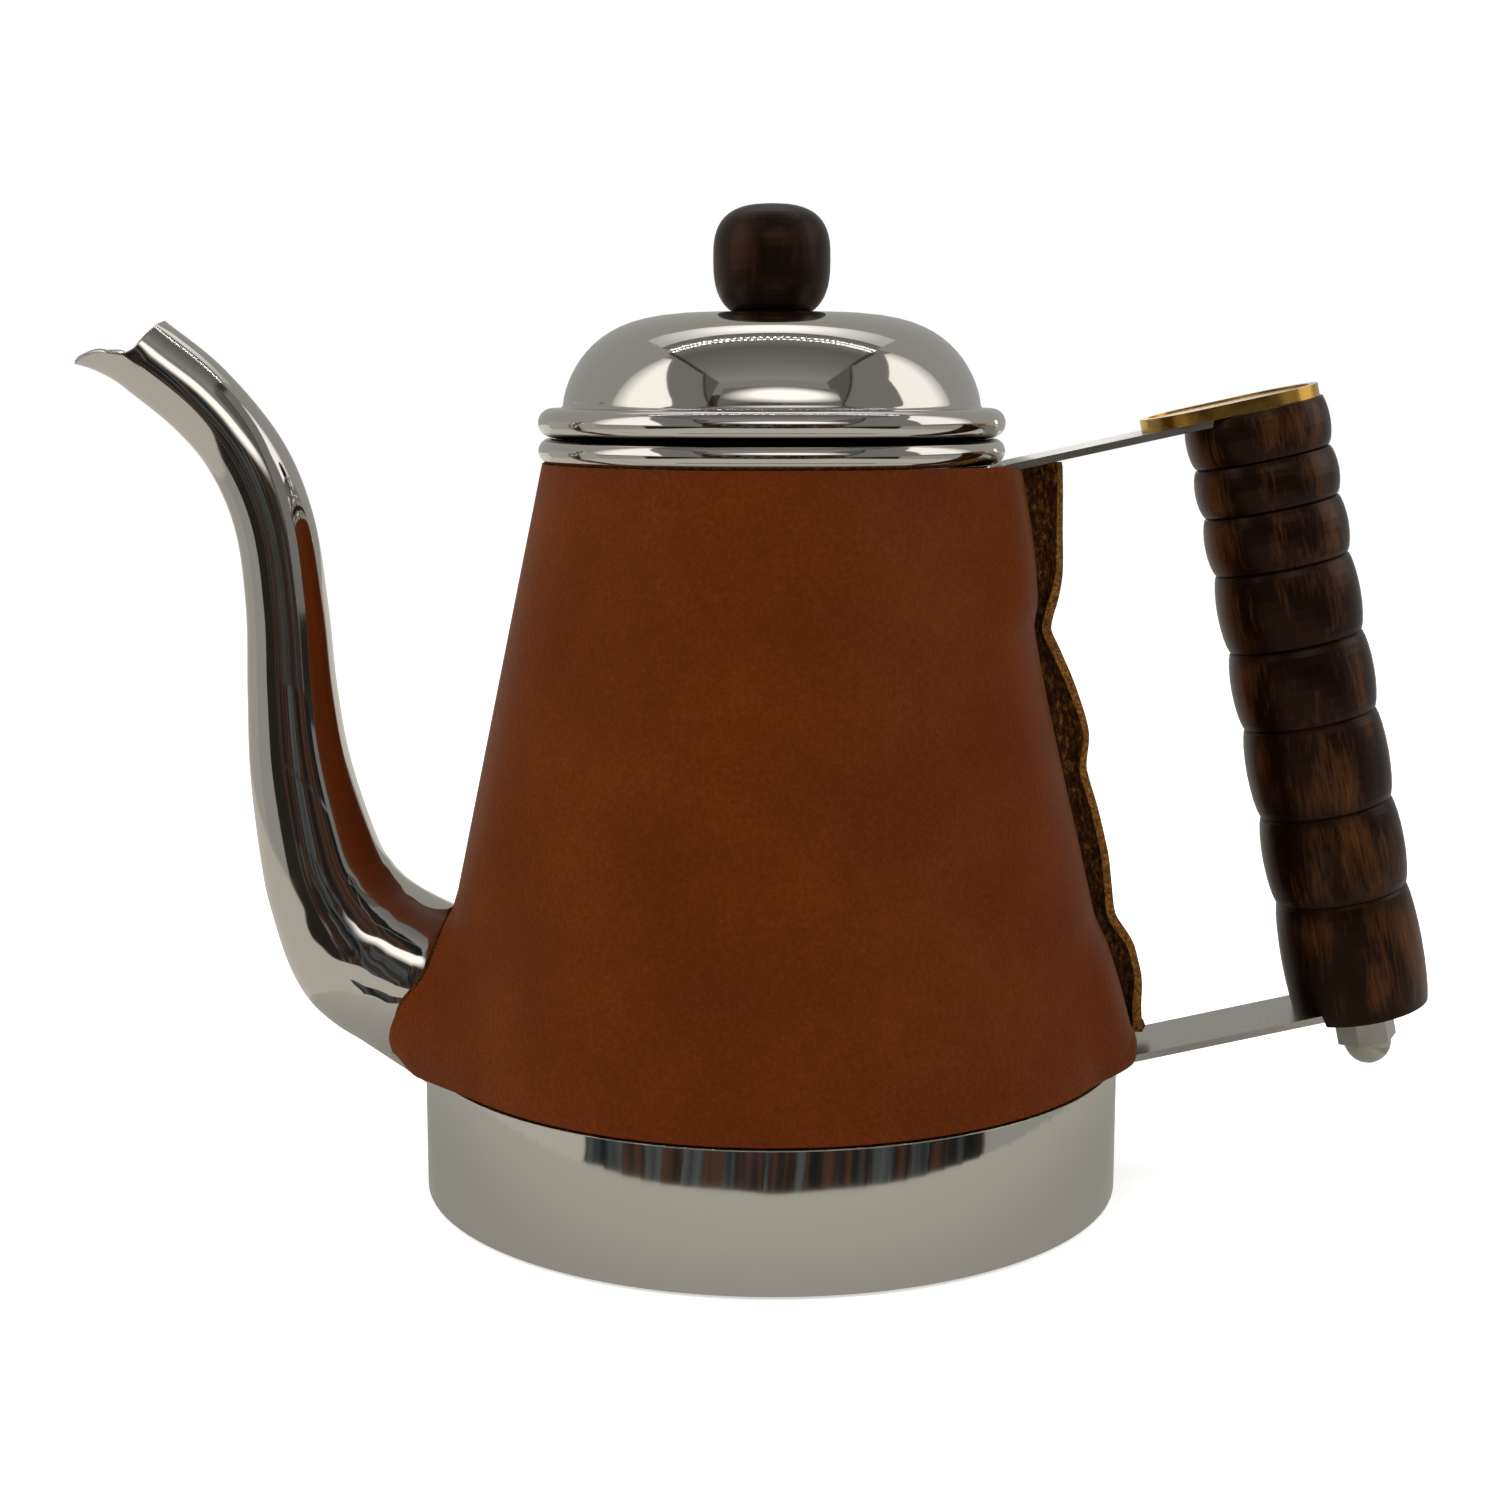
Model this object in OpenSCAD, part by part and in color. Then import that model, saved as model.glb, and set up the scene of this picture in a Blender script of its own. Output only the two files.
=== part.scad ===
// Gooseneck drip kettle with a leather sleeve, a turned wood grip and a lift-off lid.
// Millimetres. +Z is up, +X points to the handle and -X to the spout.
// The origin is on the body's axis, in the plane of the flat bottom.

/* [Body] */
// Outer diameter of the straight band at the foot
base_d = 148.5; // [142:0.1:154]
// Height of the band, up to the ledge under the sleeve
band_z = 29.2; // [26:0.1:29.2]
// Width of the ledge between the band and the foot of the cone
ledge_w = 2.45; // [1.9:0.05:3]
// Height of the bottom's upturned skirt
base_h = 8; // [6:0.5:12]
// Outside radius between the flat bottom and its upturned skirt
base_edge_r = 3; // [2:0.5:4]
// Width of the flat ring round the stamped groove in the bottom
foot_w = 5.5; // [3:0.5:9]
// Width of the stamped groove
stamp_w = 9; // [6:0.5:14]
// Depth of the stamped groove
stamp_depth = 1.2; // [0.6:0.1:2]
// Wall of the pressed steel pieces
steel_t = 0.8; // [0.6:0.05:1]
// Height of the shell's lower edge above the flat bottom
shell_lift = 0.7; // [0.2:0.1:1]
// Height of the top of the cone
cone_top_z = 152.9; // [148:0.1:156]
// Outer diameter of the rolled rims on the mouth and on the lid
rim_d = 97; // [95:0.2:99]
// Overhang of the rolled rim past the top of the cone
rim_overhang = 2.9; // [2:0.1:4]
// Diameter of the roll on the mouth
mouth_roll_d = 5.3; // [4.8:0.1:5.6]
// Height of the neck between the cone and the middle of the roll
neck_h = 3.4; // [3.3:0.1:5]

/* [Lid] */
// Diameter of the roll on the lid
lid_roll_d = 6; // [5.2:0.1:6.4]
// Distance from the outside of the roll in to the edge of the dome
dome_inset = 5.1; // [4.4:0.1:6.4]
// Height of the dome above the roll
dome_h = 19.6; // [16:0.1:26]
// Gap between the roll of the lid and the roll of the mouth
lid_gap = 0.12; // [0.1:0.01:0.3]
// Radial clearance of the lid's skirt in the mouth
skirt_fit = 0.4; // [0.3:0.05:0.8]
// Depth of the lid's skirt below the roll
skirt_h = 11; // [7:0.5:16]
// Radius of the dome's flat crown, on which the knob sits
crown_r = 10; // [9:0.5:14]
// Diameter of the steam hole in the dome
vent_d = 3; // [2:0.5:4]
// Distance of the steam hole from the axis
vent_r = 28; // [20:1:32]

/* [Knob] */
// Diameter of the knob
knob_d = 24.2; // [20:0.2:30]
// Height of the knob
knob_h = 21.9; // [19:0.1:26]
// Height of the knob's widest place above the dome
knob_waist = 10.9; // [9:0.1:12]
// Squareness of the knob's outline
knob_power = 2.8; // [2:0.1:3.4]
// Diameter of the threaded insert in the knob
insert_d = 6.5; // [6:0.1:8]
// Length of the threaded insert
insert_h = 10; // [7:0.5:14]
// Thread diameter of the knob's screw
screw_d = 4; // [3:0.5:5]
// Diameter of the knob's washer
knob_washer_d = 12; // [9:0.5:16]
// Thickness of the knob's washer
knob_washer_t = 1; // [0.6:0.1:1.6]

/* [Spout] */
// Diameter of the spout at its tip
tip_d = 16.2; // [14:0.1:18]
// Diameter of the spout at its root
root_d = 34.9; // [31:0.1:36]
// Diameter of the round port in the body behind the spout
port_d = 28; // [20:1:29]
// Length of the pouring lip beyond the cut of the tip
lip_l = 9.1; // [6:0.1:11]
// Drop of the pouring lip's point below the middle of the cut
lip_drop = 10.9; // [9:0.1:12]
// Number of flat faces round the spout
spout_sides = 28; // [24:4:32]

/* [Handle] */
// Lean of the grip's axis towards the pot, in degrees
grip_tilt = 12.2; // [8:0.1:14]
// Distance of the grip's lower end from the body's axis
grip_x = 128; // [122:0.2:132]
// Height of the middle of the grip's lower end
grip_z = 36.9; // [36.4:0.1:39]
// Height of the upper strap's face above the cone's top edge
upper_arm_rise = 0.2; // [0.1:0.1:2]
// Diameter of the grip over its beads
bead_d = 29.9; // [27:0.1:34]
// Depth of the grooves between the beads
groove_depth = 1.4; // [0.8:0.1:2]
// Width of the flat straps
strap_w = 19.6; // [15:0.2:20]
// Thickness of the flat straps
strap_t = 1.5; // [1.2:0.1:2]
// Inside radius of the bends in the straps
strap_bend_r = 1.2; // [0.8:0.1:2]
// Length of the upper strap's foot on the cone
upper_foot_l = 22; // [16:0.5:26]
// Length of the lower strap's foot on the cone
lower_foot_l = 20; // [14:0.5:24]
// Depth of the lower strap's face inside the grip's lower end
lower_recess = 1.1; // [0.6:0.1:1.5]
// Diameter of the bolt through the grip
bolt_d = 6; // [5:0.5:8]
// Diameter of the bolt's countersunk head
bolt_head_d = 11.6; // [10:0.2:13]
// Clearance between the bolt and its bore in the wood
bolt_fit = 0.2; // [0.1:0.05:0.4]
// Width across the flats of the acorn nut
nut_af = 11; // [10:0.5:13]
// Height of the acorn nut
nut_h = 14; // [12:0.2:15]
// Height of the acorn nut's hexagon
nut_hex_h = 8.6; // [6:0.1:9]

/* [Thumb plate] */
// Length of the oval brass plate
plate_l = 37.2; // [32:0.2:42]
// Width of the oval brass plate
plate_w = 24; // [21:0.5:27]
// Thickness of the brass plate
plate_t = 2.6; // [1.4:0.1:3]
// Distance from the grip's axis to the middle of the plate, towards the pot
plate_shift = 4.9; // [4:0.1:6]
// Width of the plate's raised border
border_w = 1.8; // [1:0.1:3]
// Depth of the field inside the border
field_depth = 0.4; // [0.2:0.1:0.8]
// Diameter of the studs that hold the plate to the wood
stud_d = 1.8; // [1.2:0.1:2]
// Length of the studs
stud_l = 4; // [3:0.5:8]
// Distance between the studs
stud_pitch = 6; // [4:0.5:8]

/* [Sleeve] */
// Thickness of the leather
leather_t = 2; // [1.4:0.1:2.4]
// Gap between the leather and the cone
leather_gap = 0.3; // [0.25:0.05:0.6]
// Height of the sleeve's hem
hem_z = 29.7; // [29.6:0.1:31]
// Gap between the sleeve and the faces of the straps
strap_gap = 0.3; // [0.2:0.1:1]
// Height of the hem above the knee in the lower strap's foot
back_rise = 1.6; // [1.4:0.1:3]
// Rise of the hem at the corners of the slot for the spout
corner_rise = 3.4; // [2:0.1:5]
// Height over which the sleeve's edges return to their level shape
edge_zone = 20; // [10:1:30]
// Gap between the sleeve's top edge and the roll on the mouth
top_gap = 0.3; // [0.2:0.1:3]
// Distance of the near flap's edge from the middle plane
near_edge_y = 4; // [2:0.5:8]
// Distance of the far flap's fold from the middle plane
fold_y = 4.6; // [4:0.1:8]
// Radius of the far flap's fold on the flesh side
fold_r = 3.6; // [3:0.1:5]
// Diameter of the waxed thread of the seam's tacks
thread_d = 1.4; // [1:0.1:2]

/* [Hidden] */
$fn = 96;

// Gap left at a welded or pressed seat
seat = 0.05;
// Clearance of the knob's screw in its holes
screw_fit = 0.15;
base_r = base_d / 2;
cone_foot_r = base_r - ledge_w;
rim_r = rim_d / 2;
cone_top_r = rim_r - rim_overhang;
mouth_roll_r = mouth_roll_d / 2;
mouth_r = rim_r - mouth_roll_d;
mouth_z = cone_top_z + neck_h;
lid_roll_r = lid_roll_d / 2;
lid_z = mouth_z + mouth_roll_r + lid_gap;
roll_top_z = lid_z + lid_roll_d;
dome_z = roll_top_z + dome_h;
dome_r = rim_r - dome_inset;
cone_angle = atan((cone_foot_r - cone_top_r) / (cone_top_z - band_z));

// The grip is as long as the upper strap's height at the cone asks for
grip_l = cos(grip_tilt) * (cone_top_z + upper_arm_rise - grip_z
    + (grip_x - cone_top_r) * tan(grip_tilt));
// Lengths of the grip's turned segments from its lower end, as parts of the whole
segment_parts = [26.1, 19.3, 19.6, 16.9, 16.8, 12.4, 10.4, 10.3];
grip_segments = segment_parts * grip_l / sum(segment_parts);

// Spout centreline: x, z and the share of the way from the tip's diameter to the root's
spout_line = [
    [-130.8, 176.7, 0], [-118.9, 166.85, 0.02], [-109.6, 155, 0], [-104.2, 140.9, 0.02],
    [-102.1, 123.3, 0.053], [-101.5, 106, 0.139], [-100.3, 89.2, 0.276], [-96.8, 70.35, 0.48],
    [-91.7, 58.2, 0.7], [-87.7, 51.25, 0.9], [-78.15, 44.15, 1]
];
// Pouring lip, round from the top: angle, then share of the length, height and half-width
lip = [
    [0, 0, 1, 0], [30, 0, 0.87, 0.5], [60, 0, 0.5, 0.87], [80, 0, 0.17, 0.98],
    [100, 0.1, -0.12, 0.98], [120, 0.39, -0.31, 0.92], [140, 0.67, -0.48, 0.74],
    [155, 0.85, -0.7, 0.5], [170, 0.97, -0.9, 0.22], [180, 1, -1, 0]
];
// Half-width of the sleeve's slot for the spout in degrees, by height
slot_angle = [
    [23.6, 13.4], [32, 13.4], [40.3, 14.4], [46.5, 14.2], [51.7, 12.5], [55.9, 9.3], [59, 5.2], [61, 0.2]
];
// Angle from the spout at which the leather leaves the cone, by height
tent_angle = [
    [29, 38.6], [33, 41], [38, 42], [46.5, 35.5], [51.7, 30.5], [56.9, 21], [61, 6], [67.2, 0]
];
// How far the near flap stands off the cone, by part of the sleeve's height in per cent
near_flare = [
    [0, 3.9], [9.5, 3.6], [17, 2.9], [23.7, 1.1], [34.5, 0.8], [46.9, 0.3], [63.3, 0], [72.4, 0.2],
    [78.1, 2.2], [88.7, 3.6], [99.3, 4.2]
];
// How far the far flap stands off the cone before its fold, by part of the sleeve's height
far_flare = [
    [0, 3.9], [8.3, 3.2], [18.7, 2.3], [25.3, 0.6], [46.9, 0.2], [72.4, 0.2], [77.2, 2.6], [99.3, 3.6]
];
// How far the far flap's edge stands out past the leather on the cone, by part of that height
flap_reach = [
    [0, 6.5], [4.7, 7.5], [11.9, 9.6], [15.5, 9.6], [22.7, 6.3], [27.7, 6.8], [33.4, 7.4], [40.4, 7.2],
    [47.5, 6.4], [54.4, 8.7], [61.5, 7.4], [68.3, 5.2], [71.8, 4.1], [75.2, 5.5], [77.1, 6.8],
    [82.1, 9.5], [89.2, 11.3], [99.3, 13.8]
];
// Places of the thread tacks, by part of that height
tack_parts = [23.7, 47.6, 72.2];

function sum(list, i = 0) = i < len(list) ? list[i] + sum(list, i + 1) : 0;
function unit(v) = v / norm(v);
function smooth(x) = let(u = max(0, min(1, x))) u * u * (3 - 2 * u);
function column(table, i) = [for (row = table) [row[0], row[i]]];
function last(list) = list[len(list) - 1];

// Outer radius of the steel body at a height on the band or on the cone
function body_r(z) = z < band_z ? base_r : cone_foot_r - (z - band_z) * tan(cone_angle);

// Points of an arc about c, from angle a to angle b
function arc(c, r, a, b, n) = [for (i = [0:n]) let(t = a + (b - a) * i / n) c + r * [cos(t), sin(t)]];

// Arc of radius r that rounds the corner at q between p and s
function corner(p, q, s, r, n = 6) =
    let(
        u = unit(p - q), v = unit(s - q), half = acos(u * v) / 2,
        c = q + unit(u + v) * r / sin(half),
        a = q + u * r / tan(half) - c, b = q + v * r / tan(half) - c, w = 180 - 2 * half
    )
    [for (i = [0:n]) c + (a * sin(w - w * i / n) + b * sin(w * i / n)) / sin(w)];

// Offset of point i of a path to the path's right-hand side, with mitred corners
function right(d) = [d[1], -d[0]];
function offset_at(p, i, t) =
    let(
        n1 = right(unit(p[max(i, 1)] - p[max(i, 1) - 1])),
        n2 = right(unit(p[min(i, len(p) - 2) + 1] - p[min(i, len(p) - 2)]))
    )
    p[i] + t * (n1 + n2) / (1 + n1 * n2);
// Closed outline of a sheet of thickness t that has the path on its left-hand face
function sheet(p, t) = concat(p, [for (i = [len(p) - 1:-1:0]) offset_at(p, i, t)]);

// Smooth curve through the points, with n steps between two of them
function spline_point(a, b, c, d, t) =
    0.5 * (2 * b + (c - a) * t + (2 * a - 5 * b + 4 * c - d) * t * t
        + (3 * b - a - 3 * c + d) * t * t * t);
function spline(p, n) =
    let(e = len(p) - 1)
    concat([
        for (i = [0:e - 1]) for (s = [0:n - 1])
            spline_point(
                i > 0 ? p[i - 1] : 2 * p[0] - p[1], p[i], p[i + 1],
                i < e - 1 ? p[i + 2] : 2 * p[e] - p[e - 1], s / n)
    ], [p[e]]);

module revolve(outline) {
    rotate_extrude() polygon(outline);
}

// Extrudes an outline drawn in X and Z to the given width, centred on the middle plane
module side_plate(outline, width) {
    rotate([90, 0, 0]) linear_extrude(width, center = true) polygon(outline);
}

// Places its children on the grip's axis, at a height along it from the lower end
module on_grip(h = 0) {
    translate([grip_x, 0, grip_z]) rotate([0, -grip_tilt, 0]) translate([0, 0, h]) children();
}
grip_up = [-sin(grip_tilt), cos(grip_tilt)];
grip_out = [cos(grip_tilt), sin(grip_tilt)];
// Point in X and Z at distance x from the grip's axis and height h along it
function grip_point(x, h) = [grip_x, grip_z] + x * grip_out + h * grip_up;

// ---- Body

// Pressed bottom inside the band: foot ring, raised floor and an upturned skirt
module base_cap() {
    cap_r = base_r - steel_t - seat;
    foot_r = cap_r - base_edge_r;
    ring_r = foot_r - foot_w;
    disc_r = ring_r - stamp_w;
    path = concat(
        [[cap_r, base_h]],
        arc([foot_r, base_edge_r], base_edge_r, 0, -90, 8),
        [[ring_r, 0], [ring_r - 2 * stamp_depth, stamp_depth]],
        [[disc_r + 2 * stamp_depth, stamp_depth], [disc_r, 0], [0, 0]]
    );
    color("silver") revolve(sheet(path, steel_t));
}

// One drawn shell: straight band, ledge, cone, neck and rolled mouth, with the spout's port
module body_shell() {
    inner_foot = [base_r - steel_t, shell_lift];
    inner_band = [base_r - steel_t, band_z - steel_t];
    inner_ledge = [cone_foot_r - steel_t, band_z - steel_t];
    inner_top = [cone_top_r - steel_t, cone_top_z];
    neck = [mouth_r, cone_top_z + neck_h / 2];
    path = concat(
        [inner_foot],
        corner(inner_foot, inner_band, inner_ledge, 0.4),
        corner(inner_band, inner_ledge, inner_top, 2 * steel_t),
        corner(inner_ledge, inner_top, neck, 1.2),
        corner(inner_top, neck, [mouth_r, mouth_z], 1),
        arc([mouth_r + mouth_roll_r, mouth_z], mouth_roll_r, 180, -95, 20)
    );
    color("silver") difference() {
        revolve(sheet(path, steel_t));
        spout_port();
    }
}

// ---- Spout

spout_rings = spline(spout_line, 4);
function ring_centre(k) = [spout_rings[k][0], spout_rings[k][1]];
function ring_r(k) = (tip_d + (root_d - tip_d) * spout_rings[k][2]) / 2;
function ring_along(k) =
    let(e = len(spout_rings) - 1) unit(ring_centre(min(k + 1, e)) - ring_centre(max(k - 1, 0)));
function in_plane(p, y) = [p[0], y, p[1]];
// Point of ring k at an angle from the top of the section, at radius r
function ring_point(k, a, r) =
    let(d = ring_along(k)) in_plane(ring_centre(k) + r * cos(a) * [-d[1], d[0]], r * sin(a));

// Point of the lip's edge, which leaves the cut of the tip on the lower half only
function lip_point(a, wall) =
    let(
        b = a <= 180 ? a : 360 - a, d = ring_along(0), r = tip_d / 2,
        h = lookup(b, column(lip, 2)), drop = h > 0 ? r : lip_drop,
        p = ring_centre(0) - lip_l * lookup(b, column(lip, 1)) * d
            + (drop * h - wall * cos(a)) * [-d[1], d[0]]
    )
    in_plane(p, (a <= 180 ? 1 : -1) * (r * lookup(b, column(lip, 3)) - wall * abs(sin(a))));

// Rings between the lip's edge and ring 1, bent so that the lip droops
lip_steps = 5;
function lip_ring(a, wall, s) =
    let(
        b = a <= 180 ? a : 360 - a, p = lip_point(a, wall), q = ring_point(1, a, ring_r(1) - wall),
        d0 = ring_along(0), d1 = ring_along(1), share = lookup(b, column(lip, 1)),
        l = norm(q - p), u = s / lip_steps,
        v = l * in_plane(unit(d0 + 0.55 * share * [-d0[1], d0[0]]), 0), w = l * in_plane(d1, 0)
    )
    (2 * pow(u, 3) - 3 * pow(u, 2) + 1) * p + (pow(u, 3) - 2 * pow(u, 2) + u) * v
        + (3 * pow(u, 2) - 2 * pow(u, 3)) * q + (pow(u, 3) - pow(u, 2)) * w;

// Distance along d from p to a cone round Z with the given radius at band_z and slope m
function cone_hit(p, d, radius, m) =
    let(
        r0 = radius + seat + (band_z - p[2]) * m,
        a = d[0] * d[0] + d[1] * d[1] - pow(d[2] * m, 2),
        b = 2 * (p[0] * d[0] + p[1] * d[1] + r0 * d[2] * m),
        c = p[0] * p[0] + p[1] * p[1] - r0 * r0
    )
    (-b - sqrt(b * b - 4 * a * c)) / (2 * a);
// Where the line from p down along d meets the body: on the band, the ledge or the cone
function on_body(p, d) =
    let(
        band = p + d * cone_hit(p, d, base_r, 0),
        ledge = p + d * (band_z + seat - p[2]) / d[2],
        cone = p + d * cone_hit(p, d, cone_foot_r, tan(cone_angle))
    )
    band[2] <= band_z + seat ? band
        : norm([ledge[0], ledge[1]]) >= cone_foot_r + seat ? ledge : cone;
function root_point(a, wall) =
    let(e = len(spout_rings) - 1, d = ring_along(e))
    on_body(ring_point(e, a, ring_r(e) - wall), in_plane(d, 0));

// All rings of one wall face, from the lip to the seat on the cone
function spout_face(wall) =
    let(e = len(spout_rings) - 1, angles = [for (j = [0:spout_sides - 1]) 360 * j / spout_sides])
    concat(
        [for (s = [0:lip_steps - 1]) [for (a = angles) lip_ring(a, wall, s)]],
        [for (k = [1:e]) [for (a = angles) ring_point(k, a, ring_r(k) - wall)]],
        [[for (a = angles) root_point(a, wall)]]
    );

// Hollow tube swept along the centreline, with its lip at one end and its seat at the other
module spout_tube() {
    outer = spout_face(0);
    inner = spout_face(steel_t);
    n = spout_sides;
    rings = len(outer);
    points = concat([for (ring = outer) each ring], [for (ring = inner) each ring]);
    o = function(k, j) k * n + j % n;
    i = function(k, j) rings * n + k * n + j % n;
    wall_faces = [
        for (k = [0:rings - 2]) for (j = [0:n - 1]) each [
            [o(k, j), o(k + 1, j + 1), o(k + 1, j)], [o(k, j), o(k, j + 1), o(k + 1, j + 1)],
            [i(k, j), i(k + 1, j), i(k + 1, j + 1)], [i(k, j), i(k + 1, j + 1), i(k, j + 1)]
        ]
    ];
    end_faces = [
        for (j = [0:n - 1]) each [
            [o(0, j), i(0, j + 1), o(0, j + 1)], [o(0, j), i(0, j), i(0, j + 1)],
            [o(rings - 1, j), o(rings - 1, j + 1), i(rings - 1, j + 1)],
            [o(rings - 1, j), i(rings - 1, j + 1), i(rings - 1, j)]
        ]
    ];
    color("silver") polyhedron(points, concat(wall_faces, end_faces), convexity = 6);
}

// Round port through the shell, on the line by which the spout comes in
module spout_port() {
    e = len(spout_rings) - 1;
    d = ring_along(e);
    translate(in_plane(ring_centre(e), 0)) rotate([0, 90 + atan2(-d[1], d[0]), 0])
        cylinder(h = 30, d = port_d);
}

// ---- Handle

strap_r = strap_w / 2;
bore_r = bolt_d / 2 + bolt_fit;
sink_h = bolt_head_d / 2 - bolt_d / 2;

// Side view of the face of a strap that turns against the pot: arm, bend and foot.
// The upper strap's foot hangs down the cone.
function upper_path() =
    let(
        end = grip_point(strap_w, grip_l), m = tan(cone_angle), s = tan(grip_tilt),
        x = (cone_foot_r + seat - m * (end[1] - s * end[0] - band_z)) / (1 + m * s),
        root = [x, end[1] + s * (x - end[0])],
        foot = root + upper_foot_l * [sin(cone_angle), -cos(cone_angle)]
    )
    concat([end], corner(end, root, foot, strap_bend_r + strap_t), [foot]);
// Height of the lower strap's under face at a distance x
function lower_arm_z(x) = grip_z + lower_recess / cos(grip_tilt) + (x - grip_x) * tan(grip_tilt);
// Height of the knee, at which the foot has passed the ledge and its own bend
knee_z = max(
    band_z + 0.3,
    lower_arm_z(base_r) + (strap_bend_r + strap_t) * tan(45 + grip_tilt / 2) + 0.1
);
// Height over which the foot turns in to the cone
joggle_h = 3;
// The lower strap's foot stands up past the ledge and then lies on the cone
function lower_path() =
    let(
        end = grip_point(strap_w, lower_recess), x = base_r + seat, root = [x, lower_arm_z(x)],
        z = knee_z + joggle_h, lean = [-sin(cone_angle), cos(cone_angle)],
        knee = [x, knee_z], seat_start = [body_r(z) + seat, z]
    )
    concat([end], corner(end, root, knee, strap_bend_r + strap_t),
        [knee, seat_start, seat_start + lower_foot_l * lean]);

// Flat strap along a path seen from the side, with a round end on the bolt
module strap(path, t, h) {
    difference() {
        intersection() {
            side_plate(sheet(path, t), 2 * strap_w);
            on_grip(h - grip_l / 2) linear_extrude(grip_l) strap_outline(strap_r);
        }
        on_grip(h - 2 * strap_t) cylinder(h = 4 * strap_t, r = bore_r);
        bolt_sink();
    }
}

// Plan of a strap on the grip's end: round on the bolt and straight towards the pot
module strap_outline(r) {
    circle(r = r);
    translate([-grip_x, -r]) square([grip_x, 2 * r]);
}

// Room for the countersunk head, shared by the upper strap and the wood
module bolt_sink() {
    on_grip(grip_l - sink_h) cylinder(h = sink_h, r1 = bore_r, r2 = bolt_head_d / 2 + bolt_fit);
    on_grip(grip_l) cylinder(h = 1, r = bolt_head_d / 2 + bolt_fit);
}

module upper_strap() {
    color("lightgray") strap(upper_path(), -strap_t, grip_l);
}

module lower_strap() {
    color("lightgray") strap(lower_path(), strap_t, lower_recess);
}

// Slot in an end of the grip that takes a strap from the side of the pot
module strap_slot(h, depth) {
    on_grip(h) linear_extrude(depth) strap_outline(strap_r + seat);
}

// Turned grip: a row of beads, and a longer bell at the lower end
module grip() {
    groove_r = bead_d / 2 - groove_depth;
    steps = 10;
    count = len(grip_segments);
    starts = [for (i = [0:count - 1]) sum([for (j = [0:i]) grip_segments[j]]) - grip_segments[i]];
    swell = function(i, u)
        let(t = i == 0 ? 0.04 + 0.96 * u : i == count - 1 ? 0.94 * u : u)
        groove_r + groove_depth * sqrt(max(0, sin(180 * t)));
    outline = [
        for (i = [0:count - 1]) for (s = [0:i == count - 1 ? steps : steps - 1])
            let(u = (1 - cos(180 * s / steps)) / 2) [swell(i, u), starts[i] + u * grip_segments[i]]
    ];
    color("#2e1b14") difference() {
        on_grip() revolve(concat([[bore_r, 0]], outline, [[bore_r, grip_l]]));
        strap_slot(grip_l - strap_t, strap_t + 1);
        strap_slot(-1, 1 + lower_recess + strap_t);
        bolt_sink();
        plate_studs(seat);
    }
}

// Solid end of the acorn nut beyond its bore
nut_cover = 4;
// Countersunk bolt from the upper strap down into the acorn nut
module handle_bolt() {
    tail = lower_recess - nut_h + nut_cover + 0.5;
    color("gray") {
        on_grip(tail) cylinder(h = grip_l - sink_h - tail + 0.5, d = bolt_d);
        on_grip(grip_l - sink_h) cylinder(h = sink_h, d1 = bolt_d, d2 = bolt_head_d);
    }
}

// Acorn nut under the lower strap: hexagon and dome, bored blind for the bolt
module acorn_nut() {
    dome_base_r = nut_af / 2 - 0.4;
    dome_h = nut_h - nut_hex_h;
    outline = concat([[0, 0], [dome_base_r, 0]],
        [for (a = [15:15:90]) [dome_base_r * cos(a), dome_h * sin(a)]]);
    color("lightgray") difference() {
        on_grip(lower_recess) rotate([180, 0, 0]) {
            cylinder(h = nut_hex_h, d = nut_af / cos(30), $fn = 6);
            translate([0, 0, nut_hex_h - seat]) revolve(outline);
        }
        on_grip(lower_recess - nut_h + nut_cover) cylinder(h = nut_h, r = bolt_d / 2 + seat);
    }
}

// Stadium outline of the thumb plate, drawn in by a margin
module plate_outline(margin) {
    r = plate_w / 2 - margin;
    run = plate_l / 2 - plate_w / 2;
    translate([-plate_shift, 0]) {
        translate([run, 0]) circle(r = r);
        translate([-run, 0]) circle(r = r);
        square([2 * run, 2 * r], center = true);
    }
}

// Studs in the wood beyond the upper strap's round end
module plate_studs(gap) {
    for (side = [-1, 1])
        on_grip(grip_l - stud_l) translate([strap_r + stud_d + 0.1, side * stud_pitch / 2])
            cylinder(h = stud_l + seat, r = stud_d / 2 + gap);
}

// Oval brass thumb rest with a raised border and a bare field
module thumb_plate() {
    color("#b98a34") {
        on_grip(grip_l + seat) difference() {
            linear_extrude(plate_t) plate_outline(0);
            translate([0, 0, plate_t - field_depth]) linear_extrude(plate_t) plate_outline(border_w);
        }
        plate_studs(0);
    }
}

// ---- Sleeve

sleeve_top = mouth_z - mouth_roll_r - top_gap;
function up_sleeve(z) = 100 * (z - hem_z) / (sleeve_top - hem_z);
// Heights of the rows of points: up the slot for the spout, and then by part of the rest
slot_rows = [32, 35.5, 39, 42.5, 46, 49.3, 52.3, 55.6, 58.8, 61];
upper_parts = [6.5, 13, 20.6, 29.8, 37.9, 44.4, 50.9, 57.4, 62.8, 69.6, 76.2, 83.8, 91.5, 100];
sleeve_rows = concat([hem_z], slot_rows, [for (u = upper_parts)
    last(slot_rows) + (sleeve_top - last(slot_rows)) * u / 100]);
slot_row = len(slot_rows);
front_cols = 21;
fold_cols = 4;
// Distance beside a strap over which an edge returns to its level, and angles from the spout
// between which the hem comes down from the slot's corner
strap_blend = 8;
corner_end = 20;
corner_blend = 7;
// Clear heights over the lower strap and under the upper strap at a distance x from the axis
function over_lower(x) = lower_arm_z(x) + strap_t / cos(grip_tilt) + strap_gap;
function under_upper(x) =
    grip_z + (grip_l - strap_t) / cos(grip_tilt) + (x - grip_x) * tan(grip_tilt) - strap_gap;
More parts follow.
